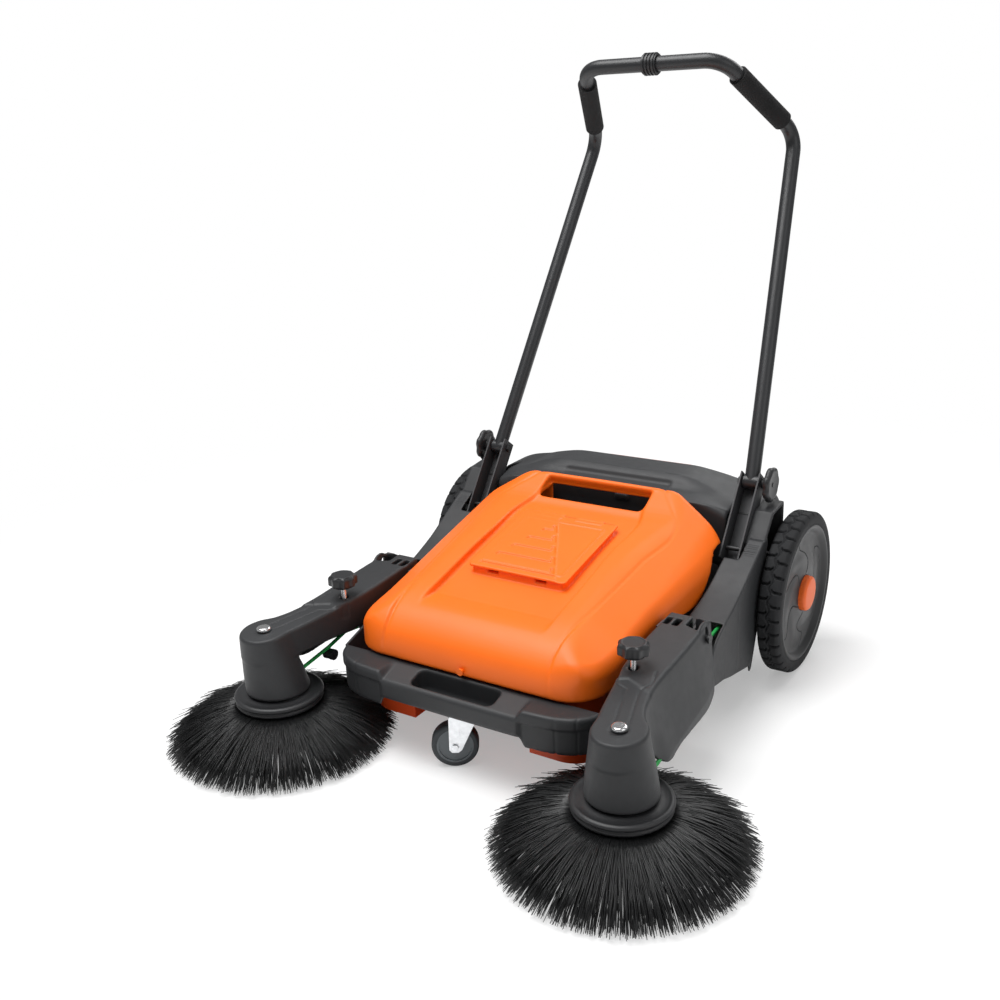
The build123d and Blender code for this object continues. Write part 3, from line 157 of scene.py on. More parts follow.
def rubber(name, colour, roughness, grain=500.0, depth=0.0003, strength=0.4):
    """Dull rubber or foam with a fine open grain."""
    material, nodes, links, shader = new_material(name, colour, roughness)
    shader.inputs["Specular IOR Level"].default_value = 0.3
    vary_colour(nodes, links, shader, noise(nodes, links, 25.0), colour, 0.2)
    add_bump(nodes, links, shader, noise(nodes, links, grain), strength, depth)
    return material


def bristle_material():
    """Glossy black nylon; some filaments are painted greyer than others, partly random tone and partly
    painted highlight streaks.
    """
    colour = (0.011, 0.0115, 0.012)
    material, nodes, links, shader = new_material("bristle_nylon", colour, 0.38)
    tone_and_sheen_streaks = nodes.new("ShaderNodeTexNoise")
    tone_and_sheen_streaks.inputs["Scale"].default_value = 140.0
    # greyer filaments: random tone mixed with painted highlight streaks
    vary_colour(nodes, links, shader, tone_and_sheen_streaks, colour, 0.7)
    vary_roughness(nodes, links, shader, tone_and_sheen_streaks, 0.28, 0.5)
    return material


ORANGE = moulded_plastic("orange_plastic", (0.95, 0.155, 0.003), 0.42, 0.52, 1400.0, 0.00018, 0.03)
# a darker, redder copy of the orange plastic for the tub and rear panel: painted shade for the shadow on the
# lower parts
ORANGE_PAINTED_SHADE = moulded_plastic("orange_plastic_painted_shade", (0.70, 0.07, 0.008), 0.45, 0.55, 1400.0, 0.0002, 0.05)
WORN_GREY = (0.08, 0.08, 0.085)
BLACK = moulded_plastic("black_plastic", (0.024, 0.025, 0.027), 0.46, 0.6, 1500.0, 0.00025, 0.1, WORN_GREY)
BLACK_SMOOTH = moulded_plastic("black_smooth_plastic", (0.018, 0.0185, 0.02), 0.4, 0.52, 1200.0, 0.0001, 0.1)
KNOB_PLASTIC = moulded_plastic("knob_plastic", (0.018, 0.0185, 0.02), 0.38, 0.5, 1000.0, 0.0002, 0.1)
CAP_ORANGE = moulded_plastic("cap_plastic", (0.83, 0.13, 0.012), 0.45, 0.55, 1400.0, 0.0001, 0.03)
TYRE = rubber("tyre_rubber", (0.015, 0.0155, 0.017), 0.75)
FOAM = rubber("grip_foam", (0.012, 0.012, 0.0125), 0.9, 1100.0, 0.0007, 0.9)
TUBE = moulded_plastic("tube_paint", (0.018, 0.019, 0.021), 0.34, 0.44, 2500.0, 0.00012, 0.08)
ZINC = metal("zinc_plate", (0.78, 0.8, 0.82), 0.3)
BRIGHT = metal("bright_steel", (0.86, 0.86, 0.87), 0.16)
BELT = rubber("green_belt", (0.02, 0.33, 0.07), 0.5)
RUBBER = rubber("black_rubber", (0.02, 0.02, 0.021), 0.65)
NYLON = moulded_plastic("gear_nylon", (0.72, 0.7, 0.63), 0.35, 0.45, 600.0, 0.0001)
CASTER_GREY = rubber("caster_tread_rubber", (0.05, 0.055, 0.06), 0.6)
CASTER_CORE = moulded_plastic("caster_core_plastic", (0.11, 0.125, 0.135), 0.4, 0.5, 900.0, 0.0001)
BRISTLE = bristle_material()


# ---------- solid modelling with distance fields


def round_max(a, b, radius):
    """Intersection of two fields with a rounded edge."""
    u = np.maximum(a + radius, 0)
    v = np.maximum(b + radius, 0)
    return np.minimum(-radius, np.maximum(a, b)) + np.sqrt(u * u + v * v)


def round_min(a, b, radius):
    """Union of two fields with a filleted joint."""
    return -round_max(-a, -b, radius)


def carve(body, tool, radius):
    """Removes a tool from a body, rounding the edge it leaves."""
    return round_max(body, -tool, radius)


def smoothstep(value, low, high):
    t = np.clip((value - low) / (high - low), 0, 1)
    return t * t * (3 - 2 * t)


def slab(value, low, high):
    """Field of the space between two values of a coordinate."""
    return np.maximum(low - value, value - high)


def rounded_box(p, low, high, radius):
    """Field of a box with rounded edges."""
    middle = (np.array(low) + high) / 2
    half = (np.array(high) - low) / 2 - radius
    q = np.abs(p - middle) - half
    outside = np.sqrt((np.maximum(q, 0) ** 2).sum(-1))
    return outside + np.minimum(q.max(-1), 0) - radius


def along_y(p, stations):
    """Interpolates a smooth value along Y through (y, value) stations given in rising y."""
    ys, values = np.array(stations, float).T
    slopes = np.gradient(values, ys)
    i = np.clip(np.searchsorted(ys, p[..., 1]) - 1, 0, len(ys) - 2)
    span = ys[i + 1] - ys[i]
    t = np.clip((p[..., 1] - ys[i]) / span, 0, 1)
    a = values[i] * (1 + 2 * t) * (1 - t) ** 2 + values[i + 1] * (3 - 2 * t) * t * t
    return a + (slopes[i] * (1 - t) - slopes[i + 1] * t) * span * t * (1 - t)


def curve_through(points, steps=6):
    """A closed smooth curve through points; a point given with a third value True stays a corner."""
    corners = [len(p) > 2 for p in points]
    xy = [np.array(p[:2], float) for p in points]
    out = []
    for i in range(len(xy)):
        before, here, after, beyond = (xy[(i + k) % len(xy)] for k in (-1, 0, 1, 2))
        m0 = (after - here) if corners[i] else (after - before) / 2
        m1 = (after - here) if corners[(i + 1) % len(xy)] else (beyond - here) / 2
        for k in range(steps):
            t = k / steps
            out.append(
                here * (1 + 2 * t) * (1 - t) ** 2
                + m0 * t * (1 - t) ** 2
                + after * (3 - 2 * t) * t * t
                - m1 * (1 - t) * t * t
            )
    return np.array(out)


class Outline:
    """Signed distance to a closed outline in a plane, kept on a fine grid and read by interpolation."""

    def __init__(self, points, margin=30.0, step=1.5):
        points = np.array(points, float)
        self.low = points.min(0) - margin
        self.step = step
        self.count = np.ceil((points.max(0) + margin - self.low) / step).astype(int) + 2
        axes = [self.low[k] + step * np.arange(self.count[k]) for k in (0, 1)]
        u, v = np.meshgrid(*axes, indexing="ij")
        nearest = np.full(u.shape, 1e9)
        inside = np.zeros(u.shape, bool)
        for a, b in zip(points, np.roll(points, -1, 0)):
            e = b - a
            t = np.clip(((u - a[0]) * e[0] + (v - a[1]) * e[1]) / max(e @ e, 1e-9), 0, 1)
            nearest = np.minimum(nearest, (u - a[0] - t * e[0]) ** 2 + (v - a[1] - t * e[1]) ** 2)
            crosses = (a[1] > v) != (b[1] > v)
            if abs(e[1]) > 1e-9:
                inside ^= crosses & (u < a[0] + (v - a[1]) * e[0] / e[1])
        self.field = np.where(inside, -1.0, 1.0) * np.sqrt(nearest)

    def __call__(self, u, v):
        gu = np.clip((u - self.low[0]) / self.step, 0, self.count[0] - 1.001)
        gv = np.clip((v - self.low[1]) / self.step, 0, self.count[1] - 1.001)
        i, j = gu.astype(int), gv.astype(int)
        fu, fv = gu - i, gv - j
        f = self.field
        return (
            f[i, j] * (1 - fu) * (1 - fv)
            + f[i + 1, j] * fu * (1 - fv)
            + f[i, j + 1] * (1 - fu) * fv
            + f[i + 1, j + 1] * fu * fv
        )


def net_vertices(values, low, step):
    """One vertex in each cell that the surface passes through; returns them and the cells' numbers."""
    cells = tuple(n - 1 for n in values.shape)
    total = np.zeros(cells + (3,))
    hits = np.zeros(cells)
    offsets = [(i, j, k) for i in (0, 1) for j in (0, 1) for k in (0, 1)]
    for a in offsets:
        for axis in range(3):
            if a[axis]:
                continue
            b = tuple(v + (n == axis) for n, v in enumerate(a))
            va = values[tuple(slice(o, o + c) for o, c in zip(a, cells))]
            vb = values[tuple(slice(o, o + c) for o, c in zip(b, cells))]
            cross = (va < 0) != (vb < 0)
            share = np.where(cross, va / np.where(cross, va - vb, 1), 0)
            hits += cross
            for n in range(3):
                total[..., n] += cross * (a[n] + (share if n == axis else 0))
    used = hits > 0
    number = np.full(cells, -1)
    number[used] = np.arange(used.sum())
    corner = np.stack(np.nonzero(used), -1)
    vertices = low + step * (corner + total[used] / hits[used][:, None])
    return vertices, number


def net_faces(values, number):
    """Four-sided faces, one for each grid edge that the surface crosses, facing outwards."""
    faces = []
    for axis in range(3):
        u, v = (axis + 1) % 3, (axis + 2) % 3
        here = [slice(1, -1)] * 3
        here[axis] = slice(0, -1)
        there = list(here)
        there[axis] = slice(1, None)
        va, vb = values[tuple(here)], values[tuple(there)]
        for sign in (True, False):
            edge = np.stack(np.nonzero((va < 0) & (vb >= 0) if sign else (va >= 0) & (vb < 0)), -1)
            base = edge + 1
            base[:, axis] -= 1
            ring = []
            for du, dv in ((1, 1), (0, 1), (0, 0), (1, 0)) if sign else ((1, 1), (1, 0), (0, 0), (0, 1)):
                cell = base.copy()
                cell[:, u] -= du
                cell[:, v] -= dv
                ring.append(number[tuple(cell.T)])
            faces.append(np.stack(ring, -1))
    return np.concatenate(faces)


def settle(field, vertices, step):
    """Moves vertices onto the surface along the field's slope."""
    for _ in range(3):
        value = field(vertices)
        slope = np.zeros_like(vertices)
        for axis in range(3):
            nudge = np.zeros(3)
            nudge[axis] = 0.4
            slope[:, axis] = (field(vertices + nudge) - field(vertices - nudge)) / 0.8
        length = np.maximum((slope**2).sum(-1), 0.2)
        move = -(value / length)[:, None] * slope
        vertices = vertices + np.clip(move, -0.5 * step, 0.5 * step)
    return vertices


def mesh_object(name, vertices, faces, material):
    """A smooth-shaded mesh object from vertices in millimetres."""
    mesh = bpy.data.meshes.new(name)
    points = np.asarray(vertices) * MM + np.array((0, AXLE_Y, 0))
    mesh.from_pydata(points.tolist(), [], [tuple(int(i) for i in f) for f in faces])
    mesh.validate()
    mesh.update()
    mesh.polygons.foreach_set("use_smooth", [True] * len(mesh.polygons))
    mesh.materials.append(material)
    obj = bpy.data.objects.new(name, mesh)
    scene.collection.objects.link(obj)
    return obj


def sample(field, low, counts, step):
    """The field on a fine grid, worked out only near the surface; elsewhere a coarse value keeps its sign."""
    stride = 4
    blocks = (counts - 2) // stride + 1
    axes = [low[n] + step * stride * np.arange(blocks[n] + 1) for n in range(3)]
    coarse = field(np.stack(np.meshgrid(*axes, indexing="ij"), -1))
    near = np.abs(coarse) < 1.3 * stride * step
    block_near = np.zeros(tuple(blocks), bool)
    for i in (0, 1):
        for j in (0, 1):
            for k in (0, 1):
                block_near |= near[i : i + blocks[0], j : j + blocks[1], k : k + blocks[2]]

    def spread(grid):
        for axis in range(3):
            grid = np.repeat(grid, stride, axis)
        return np.pad(grid, ((0, 1),) * 3, mode="edge")

    values = spread(coarse[:-1, :-1, :-1])
    index = np.stack(np.nonzero(spread(block_near)), -1)
    values[tuple(index.T)] = field(low + step * index)
    return values


def carve_shape(name, field, low, high, step, material, body, *nodes, mirrored=False):
    """Meshes a field and stands it in for CAD nodes; a mirrored piece is made for both sides."""
    low = np.array(low, float)
    counts = np.ceil((np.array(high) - low) / step).astype(int) + 1
    values = sample(field, low, counts, step)
    vertices, number = net_vertices(values, low, step)
    faces = net_faces(values, number)
    vertices = settle(field, vertices, step)
    for side_name, side_body, side_nodes, sign in sides_of(name, body, nodes, mirrored):
        turned = vertices * np.array([sign, 1, 1])
        ring = faces if sign > 0 else faces[:, ::-1]
        piece = mesh_object(side_name, turned, ring, material)
        soften = piece.modifiers.new("soften", "SMOOTH")
        soften.factor = 0.5
        soften.iterations = 1
        place(piece, side_body, *side_nodes)


def place(piece, body, *nodes):
    """The piece rides on a body, and stands for CAD nodes if any are named."""
    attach(piece, body)
    if nodes:
        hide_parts(*nodes)
    return piece


def sides_of(name, body, nodes, mirrored):
    """The piece itself, or its right-hand and left-hand versions."""
    if not mirrored:
        return [(name, body, nodes, 1)]
    out = []
    for side, sign in (("right", 1), ("left", -1)):
        out.append((f"{name}_{side}", body.format(side=side), [n.format(side=side) for n in nodes], sign))
    return out


def turned(name, outline, centre, axis, segments, material, body, *nodes, relief=None, sign=1):
    """Turns a closed outline of (along, radius) points round an axis; relief moves the turned points."""
    outline = np.array(outline, float)
    angles = np.arange(segments) * 2 * math.pi / segments
    along = np.repeat(outline[None, :, 0], segments, 0)
    radius = np.repeat(outline[None, :, 1], segments, 0)
    angle = np.repeat(angles[:, None], len(outline), 1)
    if relief:
        more_along, more_radius = relief(along, radius, angle)
        along, radius = along + more_along, radius + more_radius
    c, s = radius * np.cos(angle), radius * np.sin(angle)
    if axis == "x":
        points = np.stack((sign * along, c, s), -1)
    else:
        points = np.stack((sign * c, s, along), -1)
    points = points + np.array(centre, float)
    ring, count = np.arange(segments), len(outline)
    faces = []
    for k in range(count):
        n = (k + 1) % count
        a, b = ring * count + k, ring * count + n
        c2, d = np.roll(ring, -1) * count + n, np.roll(ring, -1) * count + k
        faces.append(np.stack((a, b, c2, d), -1))
    faces = np.concatenate(faces)
    piece = mesh_object(name, points.reshape(-1, 3), faces, material)
    close_up(piece)
    return place(piece, body, *nodes)


def close_up(piece):
    """Joins points that meet on the axis and turns every face outwards."""
    mesh = bmesh.new()
    mesh.from_mesh(piece.data)
    bmesh.ops.remove_doubles(mesh, verts=mesh.verts, dist=0.00002)
    bmesh.ops.dissolve_degenerate(mesh, edges=mesh.edges, dist=0.00001)
    bmesh.ops.recalc_face_normals(mesh, faces=mesh.faces)
    mesh.to_mesh(piece.data)
    mesh.free()
    piece.data.polygons.foreach_set("use_smooth", [True] * len(piece.data.polygons))


def rounded_outline(points, radius, steps=4):
    """Cuts each corner of a closed outline with a short curve; radius may be a list, one for each corner."""
    radii = radius if isinstance(radius, (list, tuple)) else [radius] * len(points)
    points = [np.array(p, float) for p in points]
    out = []
    for i, here in enumerate(points):
        to_last, to_next = points[i - 1] - here, points[(i + 1) % len(points)] - here
        last, following = np.linalg.norm(to_last), np.linalg.norm(to_next)
        reach = min(radii[i], 0.45 * last, 0.45 * following)
        start, end = here + to_last / last * reach, here + to_next / following * reach
        for k in range(steps + 1):
            t = k / steps
            out.append(start * (1 - t) ** 2 + 2 * here * t * (1 - t) + end * t * t)
    return out


def densify(outline, spacing):
    """Adds points along the straight stretches of a closed outline."""
    out = []
    for a, b in zip(outline, outline[1:] + outline[:1]):
        count = max(1, int(math.ceil(np.linalg.norm(np.array(b) - a) / spacing)))
        out += [np.array(a) + (np.array(b) - a) * k / count for k in range(count)]
    return out


def line_distance(u, v, points):
    """Distance in a plane to an open chain of straight lines."""
    nearest = np.full(np.shape(u), 1e9)
    for a, b in zip(points, points[1:]):
        ex, ey = b[0] - a[0], b[1] - a[1]
        t = np.clip(((u - a[0]) * ex + (v - a[1]) * ey) / (ex * ex + ey * ey), 0, 1)
        nearest = np.minimum(nearest, (u - a[0] - t * ex) ** 2 + (v - a[1] - t * ey) ** 2)
    return np.sqrt(nearest)


# ---------- hopper hood

HOOD_SIDE = Outline(
    curve_through(
        [
            (-87, 200, True), (-87, 321), (-92, 326), (-120, 312), (-160, 294), (-218, 284.5),
            (-287, 273), (-348, 259.6), (-404, 246), (-455, 234), (-485, 224), (-510, 212),
            (-530, 194), (-541, 174), (-545, 156), (-545, 145, True), (-545, 80, True),
            (-87, 80, True),
        ],
        4,
    )
)
HOOD_PLAN = Outline(
    curve_through(
        [
            (-260, -87, True), (150, -90, True), (205, -104), (231, -115), (241, -128),
            (240.5, -162), (236.5, -213), (230.5, -277), (225, -336), (222, -380), (220.5, -426),
            (220, -470), (215, -500), (202, -522), (180, -537), (150, -545), (110, -547),
            (-260, -547, True),
        ],
        4,
    )
)
HOOD_LOW_EDGE = [
    (-560, 146), (-545, 146), (-500, 149), (-440, 159), (-400, 168), (-284, 182), (-204, 192),
    (-155, 245), (-80, 250),
]
CREASE_X = [
    (-560, 151), (-534, 146), (-504, 147.6), (-404, 159), (-287, 167.5), (-162, 171), (-92, 120),
    (-80, 115),
]
RECESS_X = [(-440, 113), (-352, 113.5), (-281, 112), (-175, 112), (-141, 103), (-100, 101)]
RECESS_FLOOR = [
    (-450, 223), (-430, 227), (-352, 246), (-281, 262.5), (-212, 276.5), (-178, 283), (-160, 287),
    (-141, 297), (-110, 302), (-90, 304),
]
HOOD_WALL = 7.5


def hood_skin(p):
    """The hood's outer skin, without its lower edge."""
    ax, y, z = np.abs(p[..., 0]), p[..., 1], p[..., 2]
    crease = along_y(p, CREASE_X)
    proud = 3.0 * smoothstep(ax - crease, 0, 5) * smoothstep(-y, 430, 500)
    side = HOOD_SIDE(y, z) - proud
    fall = 292.5 - 0.56 * (ax - 171) + 0.2356 * (y + 162)
    beyond = np.maximum(ax - 205, 0)
    shoulder = (z - fall + 0.012 * beyond**2 - proud) * 0.85
    body = round_max(side, shoulder, 7.0)
    body = round_max(body, HOOD_PLAN(ax, y), 13.0)
    return body + 1.3 * np.exp(-(((ax - crease) / 2.2) ** 2)) * smoothstep(z, 150, 190)


def hood_recess(p):
    """The shallow hollow on top, which runs from the carrying bar forwards and fades out."""
    ax, y, z = np.abs(p[..., 0]), p[..., 1], p[..., 2]
    floor = along_y(p, RECESS_FLOOR)
    across = ax - along_y(p, RECESS_X)
    return round_max(round_max(floor - z, across, 5.0), y + 97 + 0.35 * (z - 306), 5.0)


def hatch_rise(p):
    """Height over the plane of the hatch's top."""
    return (p[..., 2] - 289 - 0.1965 * (p[..., 1] + 212)) * 0.981


def hood_field(p):
    """The hood: a thin shell with a hand hole, a carrying bar and the raised rim of the filling opening."""
    ax, y, z = np.abs(p[..., 0]), p[..., 1], p[..., 2]
    skin = carve(hood_skin(p), hood_recess(p), 4.0)
    low = along_y(p, HOOD_LOW_EDGE)
    solid = round_max(skin, (low - z) * 0.9, 1.5)
    body = carve(solid, skin + HOOD_WALL, 1.0)
    # hand hole in front of the carrying bar, open at the back under the bar
    bar = round_max(rounded_box(p, (-112, -104.5, 303), (112, -80, 330), 3.0), skin, 2.0)
    body = round_min(body, bar, 2.0)
    hole = rounded_box(p, (-100, -143, 240), (100, -105, 340), 12.0)
    below_bar = rounded_box(p, (-100, -143, 240), (100, -70, 303.5), 6.0)
    body = carve(carve(body, hole, 4.0), below_bar, 2.0)
    # raised rim round the filling opening, notched at the front
    rise = hatch_rise(p)
    flat = np.stack((p[..., 0], y, 0 * z), -1)
    rim = rounded_box(flat, (-86, -383.5, -90), (86, -214, 90), 9.0)
    rim = round_max(np.maximum(rim, rise + 4.6), -skin - 8, 1.0)
    body = round_min(body, rim, 2.0)
    body = carve(body, rounded_box(flat, (-77, -374, -90), (77, -224, 90), 6.0), 1.5)
    notch = np.maximum(np.maximum(np.abs(ax - 44) - 10, np.abs(y + 383) - 7), np.abs(rise + 6) - 5)
    body = carve(body, notch, 0.8)
    # dimple of the fixing screw
    screw = np.sqrt(ax**2 + (z - 161) ** 2)
    return carve(body, np.maximum(screw - 8, y + 542.6), 1.2)


carve_shape(
    "hopper_hood_shell", hood_field, (-252, -558, 134), (252, -78, 336), 2.6, ORANGE, "hopper", "hopper_hood"
)

# ---------- hatch lid

LID_APEX = (-16.0, -219.0)
LID_FRONT = -385.0
LID_BASE = (-84.0, 72.0)
RIB_DEPTH = 2.3
RIB_STARTS = [LID_FRONT + 13 + 29 * k for k in range(5)]


def hatch_field(p):
    """The hatch lid with its ribs, the lip below it and the knuckles of its hinge."""
    x, y = p[..., 0], p[..., 1]
    rise = hatch_rise(p)
    flat = np.stack((x, y, 0 * x), -1)
    # a stepped fan of ribs, each parallel to the front edge and hooked at one end
    t = np.clip((y - LID_FRONT) / (LID_APEX[1] - LID_FRONT), 0, 1)
    left = LID_BASE[0] + (LID_APEX[0] - LID_BASE[0]) * t
    right = LID_BASE[1] + (LID_APEX[0] - LID_BASE[1]) * t
    inside = smoothstep(x - left, 4, 7) * smoothstep(right - x, 2, 4)
    depth = 1.1 * smoothstep(x - right, -2, 2)
    for start in RIB_STARTS:
        line = np.abs(y - start)
        depth = depth + RIB_DEPTH * inside * (1 - smoothstep(line, 3.0, 4.8))
    leg = np.abs(x - right + 7)
    for start in RIB_STARTS:
        reach = smoothstep(y, start - 2, start) * (1 - smoothstep(y, start + 15, start + 17))
        depth = np.maximum(depth, RIB_DEPTH * reach * (1 - smoothstep(leg, 2.4, 4.2)))
    plate = np.maximum(rounded_box(flat, (-89, -386.6, -90), (89, -203.5, 90), 7.0), -rise - 4.2)
    plate = round_max(plate, rise + depth, 1.4)
    lip = rounded_box(flat, (-75.5, -372.5, -90), (75.5, -225.5, 90), 5.0)
    lip = np.maximum(np.maximum(np.maximum(lip, rise), -rise - 9), -lip - 3.2)
    body = round_min(plate, lip, 1.0)
    # knuckles round the hinge pin
    ax = np.abs(x)
    barrel = np.sqrt((y + 205) ** 2 + (p[..., 2] - 286) ** 2)
    web = np.maximum(slab(y, -216, -205), np.abs(p[..., 2] - 286.3) - 2.2)
    knuckle = np.maximum(np.minimum(barrel - 4.2, web), np.abs(ax - 37) - 25)
    body = round_min(body, knuckle, 1.0)
    return np.maximum(body, 2.2 - barrel)


carve_shape(
    "hatch_lid_moulding", hatch_field, (-93, -391, 235), (93, -197, 293), 1.5, ORANGE, "hatch", "hatch_lid"
)

# ---------- front bumper

BUMPER_PLAN = Outline(
    rounded_outline(
        [(-260, -530), (-260, -588), (122, -586), (178, -581), (207, -570), (226, -551), (234, -530)],
        [0, 0, 30, 30, 24, 16, 0],
    )
)
STEP_X = 122.0


def bumper_field(p):
    """The front bumper: a low rail between two hollow blocks, with a hand slot."""
    x, y, z = p[..., 0], p[..., 1], p[..., 2]
    ax = np.abs(x)
    block = smoothstep(ax, STEP_X - 4, STEP_X + 7)
    front_run = np.clip((-y - 545) / 41, 0, 1)
    rail_top = 141.5 - 11.5 * front_run
    top = z - (rail_top + (142 - rail_top) * block)
    low = 97 + (80.5 - 97) * smoothstep(ax, STEP_X - 1, STEP_X + 9)
    plan = BUMPER_PLAN(ax, y)
    undercut = 3.0 * (1 - smoothstep(z, 121, 126)) * block
    lip = 3.5 * (1 - block)
    body = round_max(plan + undercut - lip * 0.4, top, 6.5)
    body = round_max(body, low - z, 9.0)
    body = round_max(body, y + 533.2, 1.0)
    # hollow below, the hand slot, and the ledge behind it
    inner = round_max(plan + undercut + 4, z - 124 - 12 * block, 4.0)
    hollow = np.maximum(np.maximum(inner, np.abs(ax - 175) - 49), y + 538)
    body = carve(body, hollow, 1.0)
    slot = rounded_box(p, (-73, -578, 103), (73, -543, 190), 11.0)
    body = carve(body, slot, 3.5)
    # chamfer lines on the blocks' corners
    for corner in (178, 207):
        body = body + 0.7 * np.exp(-(((ax - corner) / 1.2) ** 2)) * smoothstep(-y, 556, 562) * block
    floor = np.maximum(rounded_box(p, (-38, -580, 60), (38, -534, 180), 8.0), slab(z, 97, 102.2))
    return np.minimum(body, floor)


carve_shape(
    "front_bumper_moulding", bumper_field, (-240, -596, 74), (240, -527, 148), 1.9, BLACK,
    "chassis", "front_bumper",
)

# ---------- rear cover

COVER_SIDE = Outline(
    curve_through(
        [
            (-83, 150, True), (-83, 303, True), (-50, 307), (-38, 313, True), (-22, 330, True),
            (20, 331), (46, 328), (70, 308), (86, 278), (94, 246), (95, 215), (95, 150, True),
        ],
        4,
    )
)
COVER_FACE = Outline(
    rounded_outline(
        [(-300, 120), (-300, 331), (118, 331), (184, 311), (240, 287), (262, 262), (262, 120)],
        [0, 0, 16, 18, 22, 24, 0],
    )
)


def rear_cover_field(p):
    """The hollow rear cover, with its ledge behind the carrying bar."""
    ax, y, z = np.abs(p[..., 0]), p[..., 1], p[..., 2]
    skin = round_max(COVER_SIDE(y, z), COVER_FACE(ax, z), 13.0)
    # domes over the drive, behind the handle brackets
    across = np.sqrt(((ax - 212) / 1.25) ** 2 + ((z - 238) / 1.0) ** 2) - 62
    dome = round_max(across, slab(y, -66, 84), 26.0)
    keep_low = round_max(dome, np.maximum(ax - 261, z - 312), 6.0)
    skin = round_min(skin, keep_low, 12.0)
    body = round_max(skin, 200.2 - z, 1.0)
    body = carve(body, skin + 7.0, 1.0)
    # the dark ledge behind the carrying bar
    ledge = rounded_box(p, (-108, -120, 309.5), (108, -34, 360), 8.0)
    tray = np.maximum(rounded_box(p, (-112, -83, 303), (112, -30, 309.6), 3.0), skin)
    body = carve(np.minimum(body, tray), ledge, 2.5)
    # the hood's catch on the ledge's front wall
    catch = rounded_box(p, (20, -88, 288), (46, -80, 300), 3.0)
    body = round_min(body, catch, 2.0)
    # clear of the handle brackets, and of the axle's walls
    clear = np.maximum(np.abs(ax - 247) - 20.5, y + 6.0)
    body = carve(body, np.maximum(clear, 196 - z), 5.0)
    return body


carve_shape(
    "rear_cover_moulding", rear_cover_field, (-266, -92, 196), (266, 99, 336), 2.6, BLACK,
    "chassis", "rear_cover",
)

# ---------- side skirts

RAIL_LINE = [
    (-330, 120), (-306, 152), (-279, 174), (-251, 185), (-203, 205), (-150, 236), (-103, 262),
    (-60, 268),
]
SKIRT_SIDE = Outline(
    curve_through(
        [
            (-326, 94, True), (-312, 140, True), (-300, 160), (-279, 174), (-251, 184.5),
            (-203, 205), (-150, 235), (-103, 261, True), (-84, 262, True), (-84, 250, True),
            (-103, 150, True), (-140, 52, True), (-146, 46, True), (-150, 58, True),
            (-232, 76, True), (-260, 84, True),
        ],
        4,
    )
)


RAIL_INNER = [(-330, 236), (-277, 237), (-213, 243), (-140, 247), (-84, 250)]


def skirt_field(p):
    """Side skirt and its top rail, with the seams in the outer wall."""
    x, y, z = p[..., 0], p[..., 1], p[..., 2]
    side = SKIRT_SIDE(y, z)
    body = round_max(side, np.maximum(x - 300, along_y(p, RAIL_INNER) - x), 2.2)
    hollow = np.maximum(x - 296.3, z - along_y(p, RAIL_LINE) + 4.5)
    body = carve(body, hollow, 0.8)
    # rail stops short of the front, where the belt passes into the arm
    body = carve(body, rounded_box(p, (255, -345, 100), (296.5, -262, 205), 3.0), 1.0)
    # slot for the foot of the handle bracket
    body = carve(body, rounded_box(p, (225, -141, 200), (273, -80, 300), 4.0), 1.0)
    # seams in the outer wall
    for seam in (-205.0, -262.0):
        groove = np.maximum(np.abs(y - seam) - 0.8, 299.0 - x)
        body = carve(body, groove, 0.6)
    return body


def fender_field(p):
    """Arch between the skirt's rail and the wheel, open towards the wheel."""
    x, y, z = p[..., 0], p[..., 1], p[..., 2]
    outline = line_distance(y, z, [(-100, 252), (-62, 296), (-14, 301), (-12, 212)]) - 3.0
    roof = round_max(outline, np.abs(x - 283) - 17, 2.0)
    under = np.maximum(FENDER_SIDE(y, z), np.abs(x - 269) - 2.2)
    return round_min(roof, under, 3.0)


FENDER_SIDE = Outline([(-100, 252), (-62, 296), (-14, 301), (-12, 206), (-84, 206)])

carve_shape(
    "side_skirt_moulding", skirt_field, (230, -332, 40), (304, -78, 268), 1.9, BLACK, "chassis",
    "side_skirt_{side}", mirrored=True,
)
carve_shape(
    "wheel_arch", fender_field, (262, -108, 200), (303, -2, 308), 2.0, BLACK, "chassis", mirrored=True
)

# ---------- side brush arms

ARM_PLAN = Outline(
    curve_through(
        [
            (237.8, -327, True), (237.8, -440), (242, -492), (250, -535), (263, -600), (272, -632),
            (277, -652), (291, -667), (308, -670.5), (326, -666), (339, -652), (343.5, -634),
            (339, -614), (326, -594), (316, -572), (309, -540), (306, -500), (306, -420),
            (303, -327, True),
        ],
        5,
    )
)
ARM_FLARE = [
    (-700, 0), (-615, 0), (-570, 17), (-545, 25), (-500, 25), (-440, 22), (-377, 19), (-341, 12),
    (-320, 6),
]
ARM_LOW_EDGE = [(-700, 150), (-606, 146), (-576, 128), (-560, 112), (-548, 104), (-480, 101), (-300, 99)]
ARM_LOW_INNER = [(-700, 150), (-600, 149), (-500, 149), (-484, 147), (-470, 104), (-300, 99)]
NOSE_TOP = (308.0, -634.0)
NOSE_BASE = (304.0, -620.0)
KNOB = (260.0, -497.0)
ARM_WALL = 6.0


def arm_top(y):
    return 192 + 0.077 * (y + 620)


def nose_cone(p, grow):
    """The leaning cone over the brush, a little fuller than straight."""
    rise = np.clip((p[..., 2] - 87) / (191 - 87), 0, 1)
    radius = 50.5 - 14.2 * rise**1.35
    return np.sqrt((p[..., 0] - 304 - 4 * rise) ** 2 + (p[..., 1] + 620 + 14 * rise) ** 2) - radius - grow


